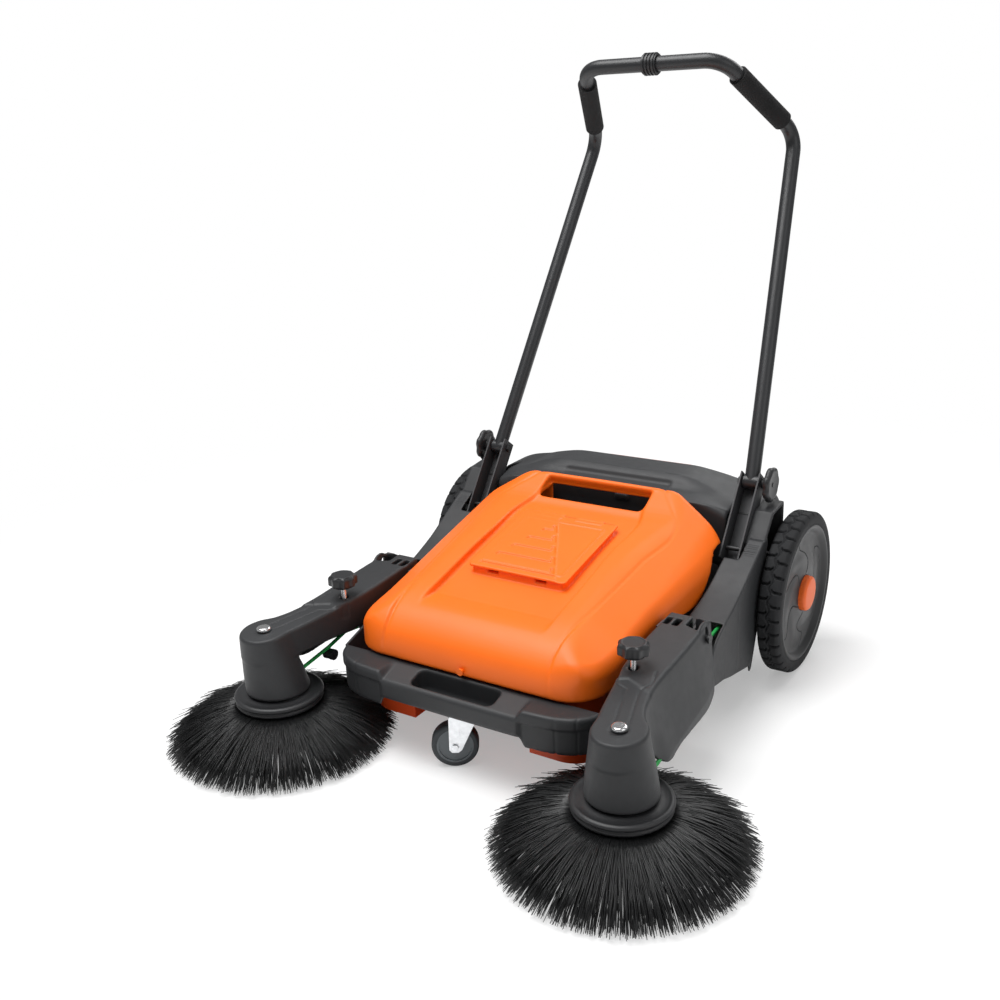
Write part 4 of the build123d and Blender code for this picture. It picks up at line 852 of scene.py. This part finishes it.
def arm_block(p, inset):
    """The arm without its hollow; inset shrinks it by the wall's thickness."""
    x, y, z = p[..., 0], p[..., 1], p[..., 2]
    top = arm_top(y)
    sink = np.clip((top - z) / 92, 0, 1)
    flare = along_y(p, ARM_FLARE) * (0.75 * sink + 0.25 * sink**2)
    shifted = x - flare * smoothstep(x, 276, 300)
    plan = ARM_PLAN(shifted, y) + inset
    share = smoothstep(x, 262, 276)
    low = along_y(p, ARM_LOW_INNER) * (1 - share) + along_y(p, ARM_LOW_EDGE) * share
    body = plan if inset else round_max(plan, low - z, 1.5)
    cone = nose_cone(p, -inset)
    cone = cone if inset else round_max(cone, 87.3 - z, 3.0)
    body = round_min(body, cone, 1.0 if inset else 7.0)
    pad = 0.0 if inset else 2.0 * smoothstep(y + 0.5 * np.abs(x - 266), -526, -521)
    return round_max(body, z - top - pad + inset, 1.0 if inset else 5.5)


def arm_field(p):
    """One side brush arm: a hollow moulding with engraved lines, a bolt recess and bosses."""
    x, y, z = p[..., 0], p[..., 1], p[..., 2]
    top = arm_top(y)
    body = arm_block(p, 0)
    body = carve(body, arm_block(p, ARM_WALL), 0.8)
    body = np.maximum(body, y + 327.0)
    # two engraved lines, from the bolt back to the knob's pad
    run_x, run_y = KNOB[0] + 8 - NOSE_TOP[0], KNOB[1] - NOSE_TOP[1]
    length = math.hypot(run_x, run_y)
    ux, uy = run_x / length, run_y / length
    along = (x - NOSE_TOP[0]) * ux + (y - NOSE_TOP[1]) * uy
    aside = (x - NOSE_TOP[0]) * uy - (y - NOSE_TOP[1]) * ux
    lines = line_distance(along, np.abs(aside), [(13, 9.5), (94, 9.5), (104, 22), (116, 25), (140, 25)])
    body = body + 1.4 * np.exp(-((lines / 1.3) ** 2)) * smoothstep(z, 170, 180)
    # recess round the bolt, and the hole that the height screw goes through
    bolt = np.sqrt((x - NOSE_TOP[0]) ** 2 + (y - NOSE_TOP[1]) ** 2)
    body = carve(body, np.maximum(bolt - 13.6, top - 1.0 - z), 0.8)
    knob = np.sqrt((x - KNOB[0]) ** 2 + (y - KNOB[1]) ** 2)
    boss = np.maximum(np.maximum(knob - 13, 176 - z), z - top - 1)
    body = round_min(body, boss, 2.0)
    body = carve(body, knob - 7.5, 1.2)
    # spindle bearing and bolt boss inside
    spindle = np.sqrt((x - NOSE_BASE[0]) ** 2 + (y - NOSE_BASE[1]) ** 2)
    bearing = np.maximum(np.maximum(spindle - 11, 126 - z), z - top + 3)
    body = carve(np.minimum(body, bearing), np.maximum(spindle - 7.1, z - top + 3), 0.5)
    return arm_rear(p, body)


def arm_rear(p, body):
    """Pivot ear, its oval hole, the wedge-shaped opening over the pin, and two slots in the top."""
    x, y, z = p[..., 0], p[..., 1], p[..., 2]
    ear = np.sqrt((y + 352) ** 2 + ((z - 197) * 0.9) ** 2) - 21.5
    foot = np.maximum(np.abs(y + 352) - 21.5, np.abs(z - 170) - 28)
    ear = np.maximum(np.minimum(ear, foot), np.abs(x - 300.5) - 2.6)
    body = round_min(body, round_max(ear, np.abs(x - 300.5) - 2.6, 1.5), 2.0)
    hole = np.sqrt(((y + 346) / 0.62) ** 2 + (z - 203) ** 2) - 9
    body = carve(body, np.maximum(hole * 0.7, np.abs(x - 302) - 12), 1.0)
    wedge = np.maximum(np.abs(x - 286.5) - 10.5, np.maximum(188 - z, np.abs(y + 346 + 0.4 * (x - 286)) - 15))
    body = carve(body, wedge, 1.5)
    for slot_x in (246.0, 261.0):
        slot = rounded_box(p, (slot_x - 5, -366, 203), (slot_x + 5, -344, 230), 2.5)
        body = carve(body, slot, 1.0)
    pin = np.sqrt((y + 349) ** 2 + (z - 195) ** 2)
    return np.maximum(body, 4.2 - pin)


carve_shape(
    "arm_moulding", arm_field, (232, -676, 82), (362, -322, 226), 1.9, BLACK, "arm_{side}",
    "arm_housing_{side}", mirrored=True,
)

# ---------- rear wheels

WHEEL_AXLE = (0, 0, 140)
TREAD_BLOCKS = 36


def tread_relief(along, radius, angle):
    """Two staggered rows of blocks, parted by hooked grooves and a winding middle groove."""
    across = along - 322.0
    on_tread = smoothstep(radius, 133, 137)
    turn = angle * TREAD_BLOCKS / (2 * math.pi)
    groove = np.zeros_like(turn)
    for side, shift in ((1, 0.0), (-1, 0.5)):
        inward = across * side
        hook = 0.14 * smoothstep(-inward, -6, -1.5)
        phase = np.abs((turn + shift + hook + 0.5) % 1 - 0.5) * 24.4
        reach = smoothstep(inward, 1.0, 2.5)
        groove = np.maximum(groove, reach * (1 - smoothstep(phase, 1.7, 2.9)))
    winding = across - 2.6 * np.sin(2 * math.pi * turn)
    groove = np.maximum(groove, 0.55 * (1 - smoothstep(np.abs(winding), 0.8, 1.8)))
    return 0 * along, -4.8 * groove * on_tread


TYRE_OUTLINE = densify(
    rounded_outline(
        [
            (303, 118.3), (302.5, 128), (304.5, 136.5), (308, 139.6), (336, 139.6), (339.5, 136.5),
            (342, 129), (341.4, 118.3),
        ],
        [1, 3, 3, 2, 2, 3, 3, 1],
        3,
    ),
    1.4,
)


def rim_relief(along, radius, angle):
    """Six curved lines pressed into the dished face."""
    on_face = smoothstep(along, 329, 330.5) * smoothstep(radius, 33, 36) * (1 - smoothstep(radius, 100, 106))
    sweep = 0.30 * np.sin((radius - 34) / 72 * 2 * math.pi) + 0.10
    phase = ((angle + sweep) * 6 / (2 * math.pi)) % 1 - 0.5
    distance = np.abs(phase) * 2 * math.pi / 6 * radius
    bulge = smoothstep(radius, 40, 70) * (1 - smoothstep(radius, 80, 100))
    swell = 1.6 * np.cos(phase * 2 * math.pi) * on_face * bulge
    line = 1 - smoothstep(distance, 0.4, 1.3)
    return -1.5 * line * on_face - swell * 0.6, 0 * radius


RIM_OUTLINE = densify(
    rounded_outline(
        [
            (264, 8.1), (328, 8.1), (328, 16), (335, 16), (335, 30.8), (338, 31.2), (338, 36),
            (334.5, 62), (331.5, 92), (332, 104), (338.5, 110), (341.6, 114), (341.3, 118),
            (303, 118), (303, 112), (326, 110.5), (326, 98), (328, 60), (328, 30), (328, 22),
            (291, 22), (291, 49.5), (289.5, 49.5), (289.5, 42.7), (282.5, 42.7), (282.5, 49.5),
            (281, 49.5), (281, 22), (264, 22),
        ],
        [0, 1, 0.5, 0.5, 0.4, 0.6, 2, 12, 6, 3, 2, 2, 1, 1, 1, 2, 2, 6, 2, 2, 1] + 6 * [0.4] + [1, 1],
        3,
    ),
    1.6,
)
CAP_OUTLINE = rounded_outline(
    [(335.3, 0), (350, 0), (350, 20), (349.4, 27), (346, 30.2), (338.3, 30.4), (335.3, 30.2)],
    [0, 0, 2, 4, 3, 0.5, 0.5],
    5,
)

for side, sign in (("right", 1), ("left", -1)):
    body = f"wheel_{side}"
    wheel_pieces = (
        ("tyre_{}_tread", TYRE_OUTLINE, 864, TYRE, "tyre_{}", tread_relief),
        ("rim_{}_moulding", RIM_OUTLINE, 480, BLACK_SMOOTH, "rim_{}", rim_relief),
        ("hub_cap_{}_moulding", CAP_OUTLINE, 96, CAP_ORANGE, "hub_cap_{}", None),
    )
    for name, outline, segments, material, node, relief in wheel_pieces:
        turned(
            name.format(side),
            outline,
            WHEEL_AXLE,
            "x",
            segments,
            material,
            body,
            node.format(side),
            relief=relief,
            sign=sign,
        )

# ---------- side brushes

DISC_OUTLINE = densify(
    rounded_outline(
        [
            (84, 0), (84, 50), (82.6, 57), (82.6, 62), (83.6, 66), (81, 70.5), (76.5, 70.3),
            (74, 67), (71.5, 69.2), (68, 68.6), (65.5, 64), (64, 58), (64, 20), (68, 0),
        ],
        [0, 3, 2, 2, 2.5, 3, 2, 1.5, 2, 2, 1.5, 2, 3, 0],
        4,
    ),
    4.0,
)


def hairs(name, roots, middles, tips, thickness, sides, steps, material, body, *nodes):
    """Tapered bristles, each a curve from its root past its middle to its tip."""
    t = np.linspace(0, 1, steps + 1)[None, :, None]
    spine = roots[:, None] * (1 - t) ** 2 + 2 * middles[:, None] * t * (1 - t) + tips[:, None] * t * t
    heading = np.gradient(spine, axis=1)
    heading /= np.linalg.norm(heading, axis=-1, keepdims=True)
    aside = np.cross(heading, np.array([0.31, 0.17, 0.93]))
    aside /= np.linalg.norm(aside, axis=-1, keepdims=True)
    lift = np.cross(heading, aside)
    girth = (thickness[:, None] * (1 - 0.55 * t[:, :, 0] ** 2))[:, :, None]
    rings = []
    for k in range(sides):
        turn = 2 * math.pi * k / sides
        rings.append(spine + girth * (math.cos(turn) * aside + math.sin(turn) * lift))
    points = np.stack(rings, 2)
    count = len(roots)
    number = np.arange(count * (steps + 1) * sides).reshape(count, steps + 1, sides)
    faces = []
    for k in range(sides):
        n = (k + 1) % sides
        quad = (number[:, :-1, k], number[:, :-1, n], number[:, 1:, n], number[:, 1:, k])
        faces.append(np.stack(quad, -1).reshape(-1, 4))
    mesh_faces = [tuple(f) for f in np.concatenate(faces).tolist()]
    mesh_faces += [tuple(f) for f in number[:, 0, ::-1].tolist()]
    mesh_faces += [tuple(f) for f in number[:, -1].tolist()]
    piece = mesh_object(name, points.reshape(-1, 3), mesh_faces, material)
    return place(piece, body, *nodes)


GOLDEN_ANGLE = 2.39996  # spreads the tufts evenly round the disc


def side_bristles(side, sign, random):
    """Bristles in clumped tufts that splay out of the disc and droop to the floor."""
    tufts, per_tuft = 150, 24
    count = tufts * per_tuft
    tuft_angle = np.repeat(np.arange(tufts) * GOLDEN_ANGLE, per_tuft)
    row = np.repeat(np.arange(tufts) % 3, per_tuft)
    angle = tuft_angle + random.normal(0, 0.03, count)
    splay = angle + random.normal(0, 0.055, count)
    reach = 168 + 17 * random.random(count) - 4 * row
    reach = np.where(random.random(count) < 0.12, reach - 14 * random.random(count), reach)
    rise = random.normal(0, 2.0, count)
    tip_height = np.clip(1.0 + 20 * random.random(count) ** 2.2 + 3.0 * (2 - row), 0.8, 40)
    root_radius = 55 + 4.2 * row + random.normal(0, 1.0, count)

    def ring(radius, turn, height):
        return np.stack(
            (sign * (NOSE_BASE[0] + radius * np.cos(turn)), NOSE_BASE[1] + radius * np.sin(turn), height), -1
        )

    roots = ring(root_radius, angle, 64.5 + 0 * angle)
    middles = ring(reach * 0.66, (angle + splay) / 2, 58 + 1.5 * row + rise)
    tips = ring(reach, splay, tip_height)
    hairs(f"bristles_{side}", roots, middles, tips, 0.85 + 0.25 * random.random(count), 3, 5, BRISTLE,
          f"side_brush_{side}", f"side_bristles_{side}")


MAIN_BRUSH_CENTRE = (-185.0, 112.0)
MAIN_BRUSH_LENGTH = 432.0


def main_brush_bristles(random):
    """Straight tufts in slanting rows round the core."""
    rows, tufts, per_tuft = 8, 56, 7
    n = np.arange(rows * tufts * per_tuft)
    row, tuft = n // (tufts * per_tuft), n // per_tuft % tufts
    across = (tuft + 0.5) / tufts - 0.5
    x = across * MAIN_BRUSH_LENGTH + random.normal(0, 1.6, len(n))
    angle = row * 2 * math.pi / rows + across * 0.9 + random.normal(0, 0.035, len(n))
    reach = 107.5 - 3 * random.random(len(n))

    def point(radius, lean):
        centre_y, centre_z = MAIN_BRUSH_CENTRE
        return np.stack((x + lean, centre_y + radius * np.cos(angle), centre_z + radius * np.sin(angle)), -1)

    lean = random.normal(0, 2.0, len(n))
    hairs("main_brush_hairs", point(29 + 0 * n, 0 * n), point(reach * 0.6, lean * 0.4), point(reach, lean),
          0.9 + 0.2 * random.random(len(n)), 3, 2, BRISTLE, "main_brush", "main_brush_bristles")


draws = np.random.default_rng(SEED)
for side, sign in (("right", 1), ("left", -1)):
    centre = (sign * NOSE_BASE[0], NOSE_BASE[1], 0)
    turned(f"side_disc_{side}", DISC_OUTLINE, centre, "z", 120, BLACK_SMOOTH, f"side_brush_{side}",
           f"side_brush_disc_{side}")
    side_bristles(side, sign, draws)
main_brush_bristles(draws)

# ---------- knobs

KNOB_HEAD = densify(
    rounded_outline(
        [(0, 0), (0, 15), (4, 20), (5, 23.6), (17.5, 23.6), (20.5, 21), (22, 17), (21.2, 15), (21.2, 0)],
        [0, 2, 2, 1.5, 2, 1.5, 1.0, 0.8, 0],
        3,
    ),
    1.6,
)


def eight_lobes(along, radius, angle):
    """Scallops between eight grip lobes."""
    edge = smoothstep(radius, 17, 22)
    return 0 * along, -3.2 * edge * (0.5 - 0.5 * np.cos(8 * angle)) ** 0.8


def seven_lobes(along, radius, angle):
    """Shallow scallops round a clamp knob's rim."""
    edge = smoothstep(radius, 20, 28)
    return 0 * along, -2.6 * edge * (0.5 - 0.5 * np.cos(7 * angle)) ** 1.5


def thread(along, radius, angle):
    """A cut screw thread."""
    turn = (along / 1.6 - angle / (2 * math.pi)) % 1
    return 0 * along, (np.abs(turn - 0.5) - 0.25) * 1.3 * smoothstep(radius, 2, 3)


CLAMP_HEAD = densify(
    rounded_outline(
        [
            (0, 0), (0, 9), (9, 9.5), (9.5, 15), (8.5, 24), (10.5, 29), (14, 30.3), (18.5, 29.2),
            (20.5, 24), (19, 14), (18.2, 0),
        ],
        [0, 1, 2, 3, 3, 2, 2.5, 3, 4, 4, 0],
        4,
    ),
    1.6,
)
KNOB_HEAD_BOTTOM = 221.5
SCREW_BOTTOM = 181.0
CLAMP_X = 268.6
SHANK = [(-6, 0), (-6, 3.4)] + [(z, 3.9) for z in np.arange(-5, 46, 0.4)] + [(46, 0)]

for side, sign in (("right", 1), ("left", -1)):
    body = f"height_knob_{side}"
    head = (sign * KNOB[0], KNOB[1], KNOB_HEAD_BOTTOM)
    head_name = f"height_knob_{side}_head"
    turned(head_name, KNOB_HEAD, head, "z", 192, KNOB_PLASTIC, body, body, relief=eight_lobes)
    screw = (sign * KNOB[0], KNOB[1], SCREW_BOTTOM)
    turned(f"height_screw_{side}", SHANK, screw, "z", 24, BRIGHT, body, relief=thread)
    clamp = (sign * CLAMP_X, HANDLE_PIVOT[1], HANDLE_PIVOT[2])
    knob = f"handle_knob_{side}"
    turned(
        f"clamp_knob_{side}",
        CLAMP_HEAD,
        clamp,
        "x",
        168,
        KNOB_PLASTIC,
        knob,
        knob,
        relief=seven_lobes,
        sign=sign,
    )

# ---------- belts

for side, sign in (("right", 1), ("left", -1)):
    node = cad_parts[f"belt_{side}"]
    belt = bpy.data.objects.new(f"round_belt_{side}", node.data.copy())
    belt.data.materials.clear()
    belt.data.materials.append(BELT)
    scene.collection.objects.link(belt)
    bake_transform(belt)
    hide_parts(f"belt_{side}")

# ---------- pieces kept as the frame holds them

FINISHES = (
    # the tub and rear panel take the darker copy of the orange, which is painted shade
    (ORANGE_PAINTED_SHADE, ("hopper_tub", "rear_panel")),
    (ORANGE, ("hopper_screw", "hatch_pin")),
    (BLACK, ("chassis_shell", "handle_brackets", "gear_cover")),
    (RUBBER, ("rear_flap", "drive_belt")),
    (
        BLACK_SMOOTH,
        (
            "bracket_bolts", "handle_pivot_bolts", "brush_bearings", "arm_pivot_pins", "main_brush_core",
            "guide_roller_right", "guide_roller_left",
        ),
    ),
    (
        ZINC,
        (
            "wheel_axle", "axle_clips", "caster_plate", "caster_fork", "caster_axle", "countershaft",
            "brush_spindle_right", "brush_spindle_left",
        ),
    ),
    (CASTER_CORE, ("caster_wheel",)),
    (CASTER_GREY, ("caster_tread",)),
    (NYLON, ("wheel_gear",)),
    (TUBE, ("handle_bar", "handle_tube_right", "handle_tube_left")),
    (KNOB_PLASTIC, ("bar_collar",)),
    (FOAM, ("grip_right", "grip_left")),
    (BRIGHT, ("nose_bolt_right", "nose_bolt_left")),
)
BEVELS = {
    "hopper_tub": 4.0,
    "chassis_shell": 1.2,
    "rear_panel": 2.0,
    "rear_flap": 1.0,
    "handle_brackets": 0.8,
    "caster_fork": 0.8,
    "caster_plate": 0.8,
    "gear_cover": 1.5,
    "axle_clips": 0.3,
}

for finish, nodes_of_finish in FINISHES:
    for node in nodes_of_finish:
        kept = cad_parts[node]
        kept.data.materials.clear()
        kept.data.materials.append(finish)

for node, width in BEVELS.items():
    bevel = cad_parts[node].modifiers.new("rounded_edges", "BEVEL")
    bevel.width = width * MM
    bevel.segments = 3
    bevel.limit_method = "ANGLE"
    bevel.angle_limit = math.radians(35)
    bevel.harden_normals = False

# ---------- stage, light and camera


def camera_only(nodes):
    """One for rays that come from the camera, and zero for light that falls on the machine."""
    return nodes.new("ShaderNodeLightPath").outputs["Is Camera Ray"]


def add_floor():
    """Pale paper that fades to plain white away from the machine."""
    bpy.ops.mesh.primitive_plane_add(size=60, location=(0, AXLE_Y, -0.0004))
    floor = bpy.context.object
    floor.name = "studio_floor"
    material, nodes, links, shader = new_material("studio_paper", (0.96, 0.96, 0.96), 0.75)
    shader.inputs["Specular IOR Level"].default_value = 0.1
    glow = nodes.new("ShaderNodeEmission")
    distance = nodes.new("ShaderNodeVectorMath")
    distance.operation = "LENGTH"
    links.new(nodes.new("ShaderNodeTexCoord").outputs["Object"], distance.inputs[0])
    fade = nodes.new("ShaderNodeMapRange")
    fade.interpolation_type = "SMOOTHSTEP"
    fade.inputs["From Min"].default_value = 0.35
    fade.inputs["From Max"].default_value = 1.7
    fade.inputs["To Min"].default_value = 0.35
    links.new(distance.outputs["Value"], fade.inputs["Value"])
    share = nodes.new("ShaderNodeMath")
    share.operation = "MULTIPLY"
    links.new(fade.outputs["Result"], share.inputs[0])
    links.new(camera_only(nodes), share.inputs[1])
    mix = nodes.new("ShaderNodeMixShader")
    links.new(share.outputs["Value"], mix.inputs["Fac"])
    links.new(shader.outputs["BSDF"], mix.inputs[1])
    links.new(glow.outputs["Emission"], mix.inputs[2])
    links.new(mix.outputs["Shader"], nodes["Material Output"].inputs["Surface"])
    floor.data.materials.append(material)


def add_area(name, place_at, target, size, power):
    light = bpy.data.lights.new(name, "AREA")
    light.shape = "RECTANGLE"
    light.size, light.size_y = size
    light.energy = power
    lamp = bpy.data.objects.new(name, light)
    lamp.location = Vector(place_at) + Vector((0, AXLE_Y, 0))
    lamp.rotation_euler = (Vector(target) - Vector(place_at)).to_track_quat("-Z", "Y").to_euler()
    scene.collection.objects.link(lamp)


def add_world():
    """White behind the machine, and a weaker white as fill light."""
    world = bpy.data.worlds.new("studio")
    world.use_nodes = True
    nodes, links = world.node_tree.nodes, world.node_tree.links
    strength = nodes.new("ShaderNodeMapRange")
    strength.inputs["To Min"].default_value = 0.27
    strength.inputs["To Max"].default_value = 1.0
    links.new(camera_only(nodes), strength.inputs["Value"])
    background = nodes["Background"]
    background.inputs["Color"].default_value = (1, 1, 1, 1)
    links.new(strength.outputs["Result"], background.inputs["Strength"])
    scene.world = world


CAMERA_PLACE = Vector((884.4, -1758.4, 930.9)) * MM + Vector((0, AXLE_Y, 0))
CAMERA_AZIMUTH = math.radians(33.47)
CAMERA_FALL = math.radians(18.78)
CAMERA_ROLL = math.radians(-2.35)


def add_camera():
    back = Vector(
        (
            math.sin(CAMERA_AZIMUTH) * math.cos(CAMERA_FALL),
            -math.cos(CAMERA_AZIMUTH) * math.cos(CAMERA_FALL),
            math.sin(CAMERA_FALL),
        )
    )
    right = Vector((0, 0, 1)).cross(back).normalized()
    up = back.cross(right)
    c, s = math.cos(CAMERA_ROLL), math.sin(CAMERA_ROLL)
    rows = Matrix((c * right + s * up, -s * right + c * up, back))
    camera = bpy.data.cameras.new("camera")
    camera.lens = 40.55
    camera.sensor_width = 36
    eye = bpy.data.objects.new("camera", camera)
    eye.matrix_world = Matrix.Translation(CAMERA_PLACE) @ rows.transposed().to_4x4()
    scene.collection.objects.link(eye)
    scene.camera = eye


scene.view_settings.view_transform = "Standard"
add_floor()
add_world()
add_area("key_light", (-0.8, -0.9, 3.7), (0, -0.2, 0.2), (2.6, 2.6), 165)
add_area("side_light", (3.2, -0.8, 2.2), (0.1, -0.2, 0.3), (2.4, 2.4), 22)
add_area("back_light", (0.4, 3.0, 2.6), (0, 0, 0.4), (3.0, 1.6), 50)
add_camera()
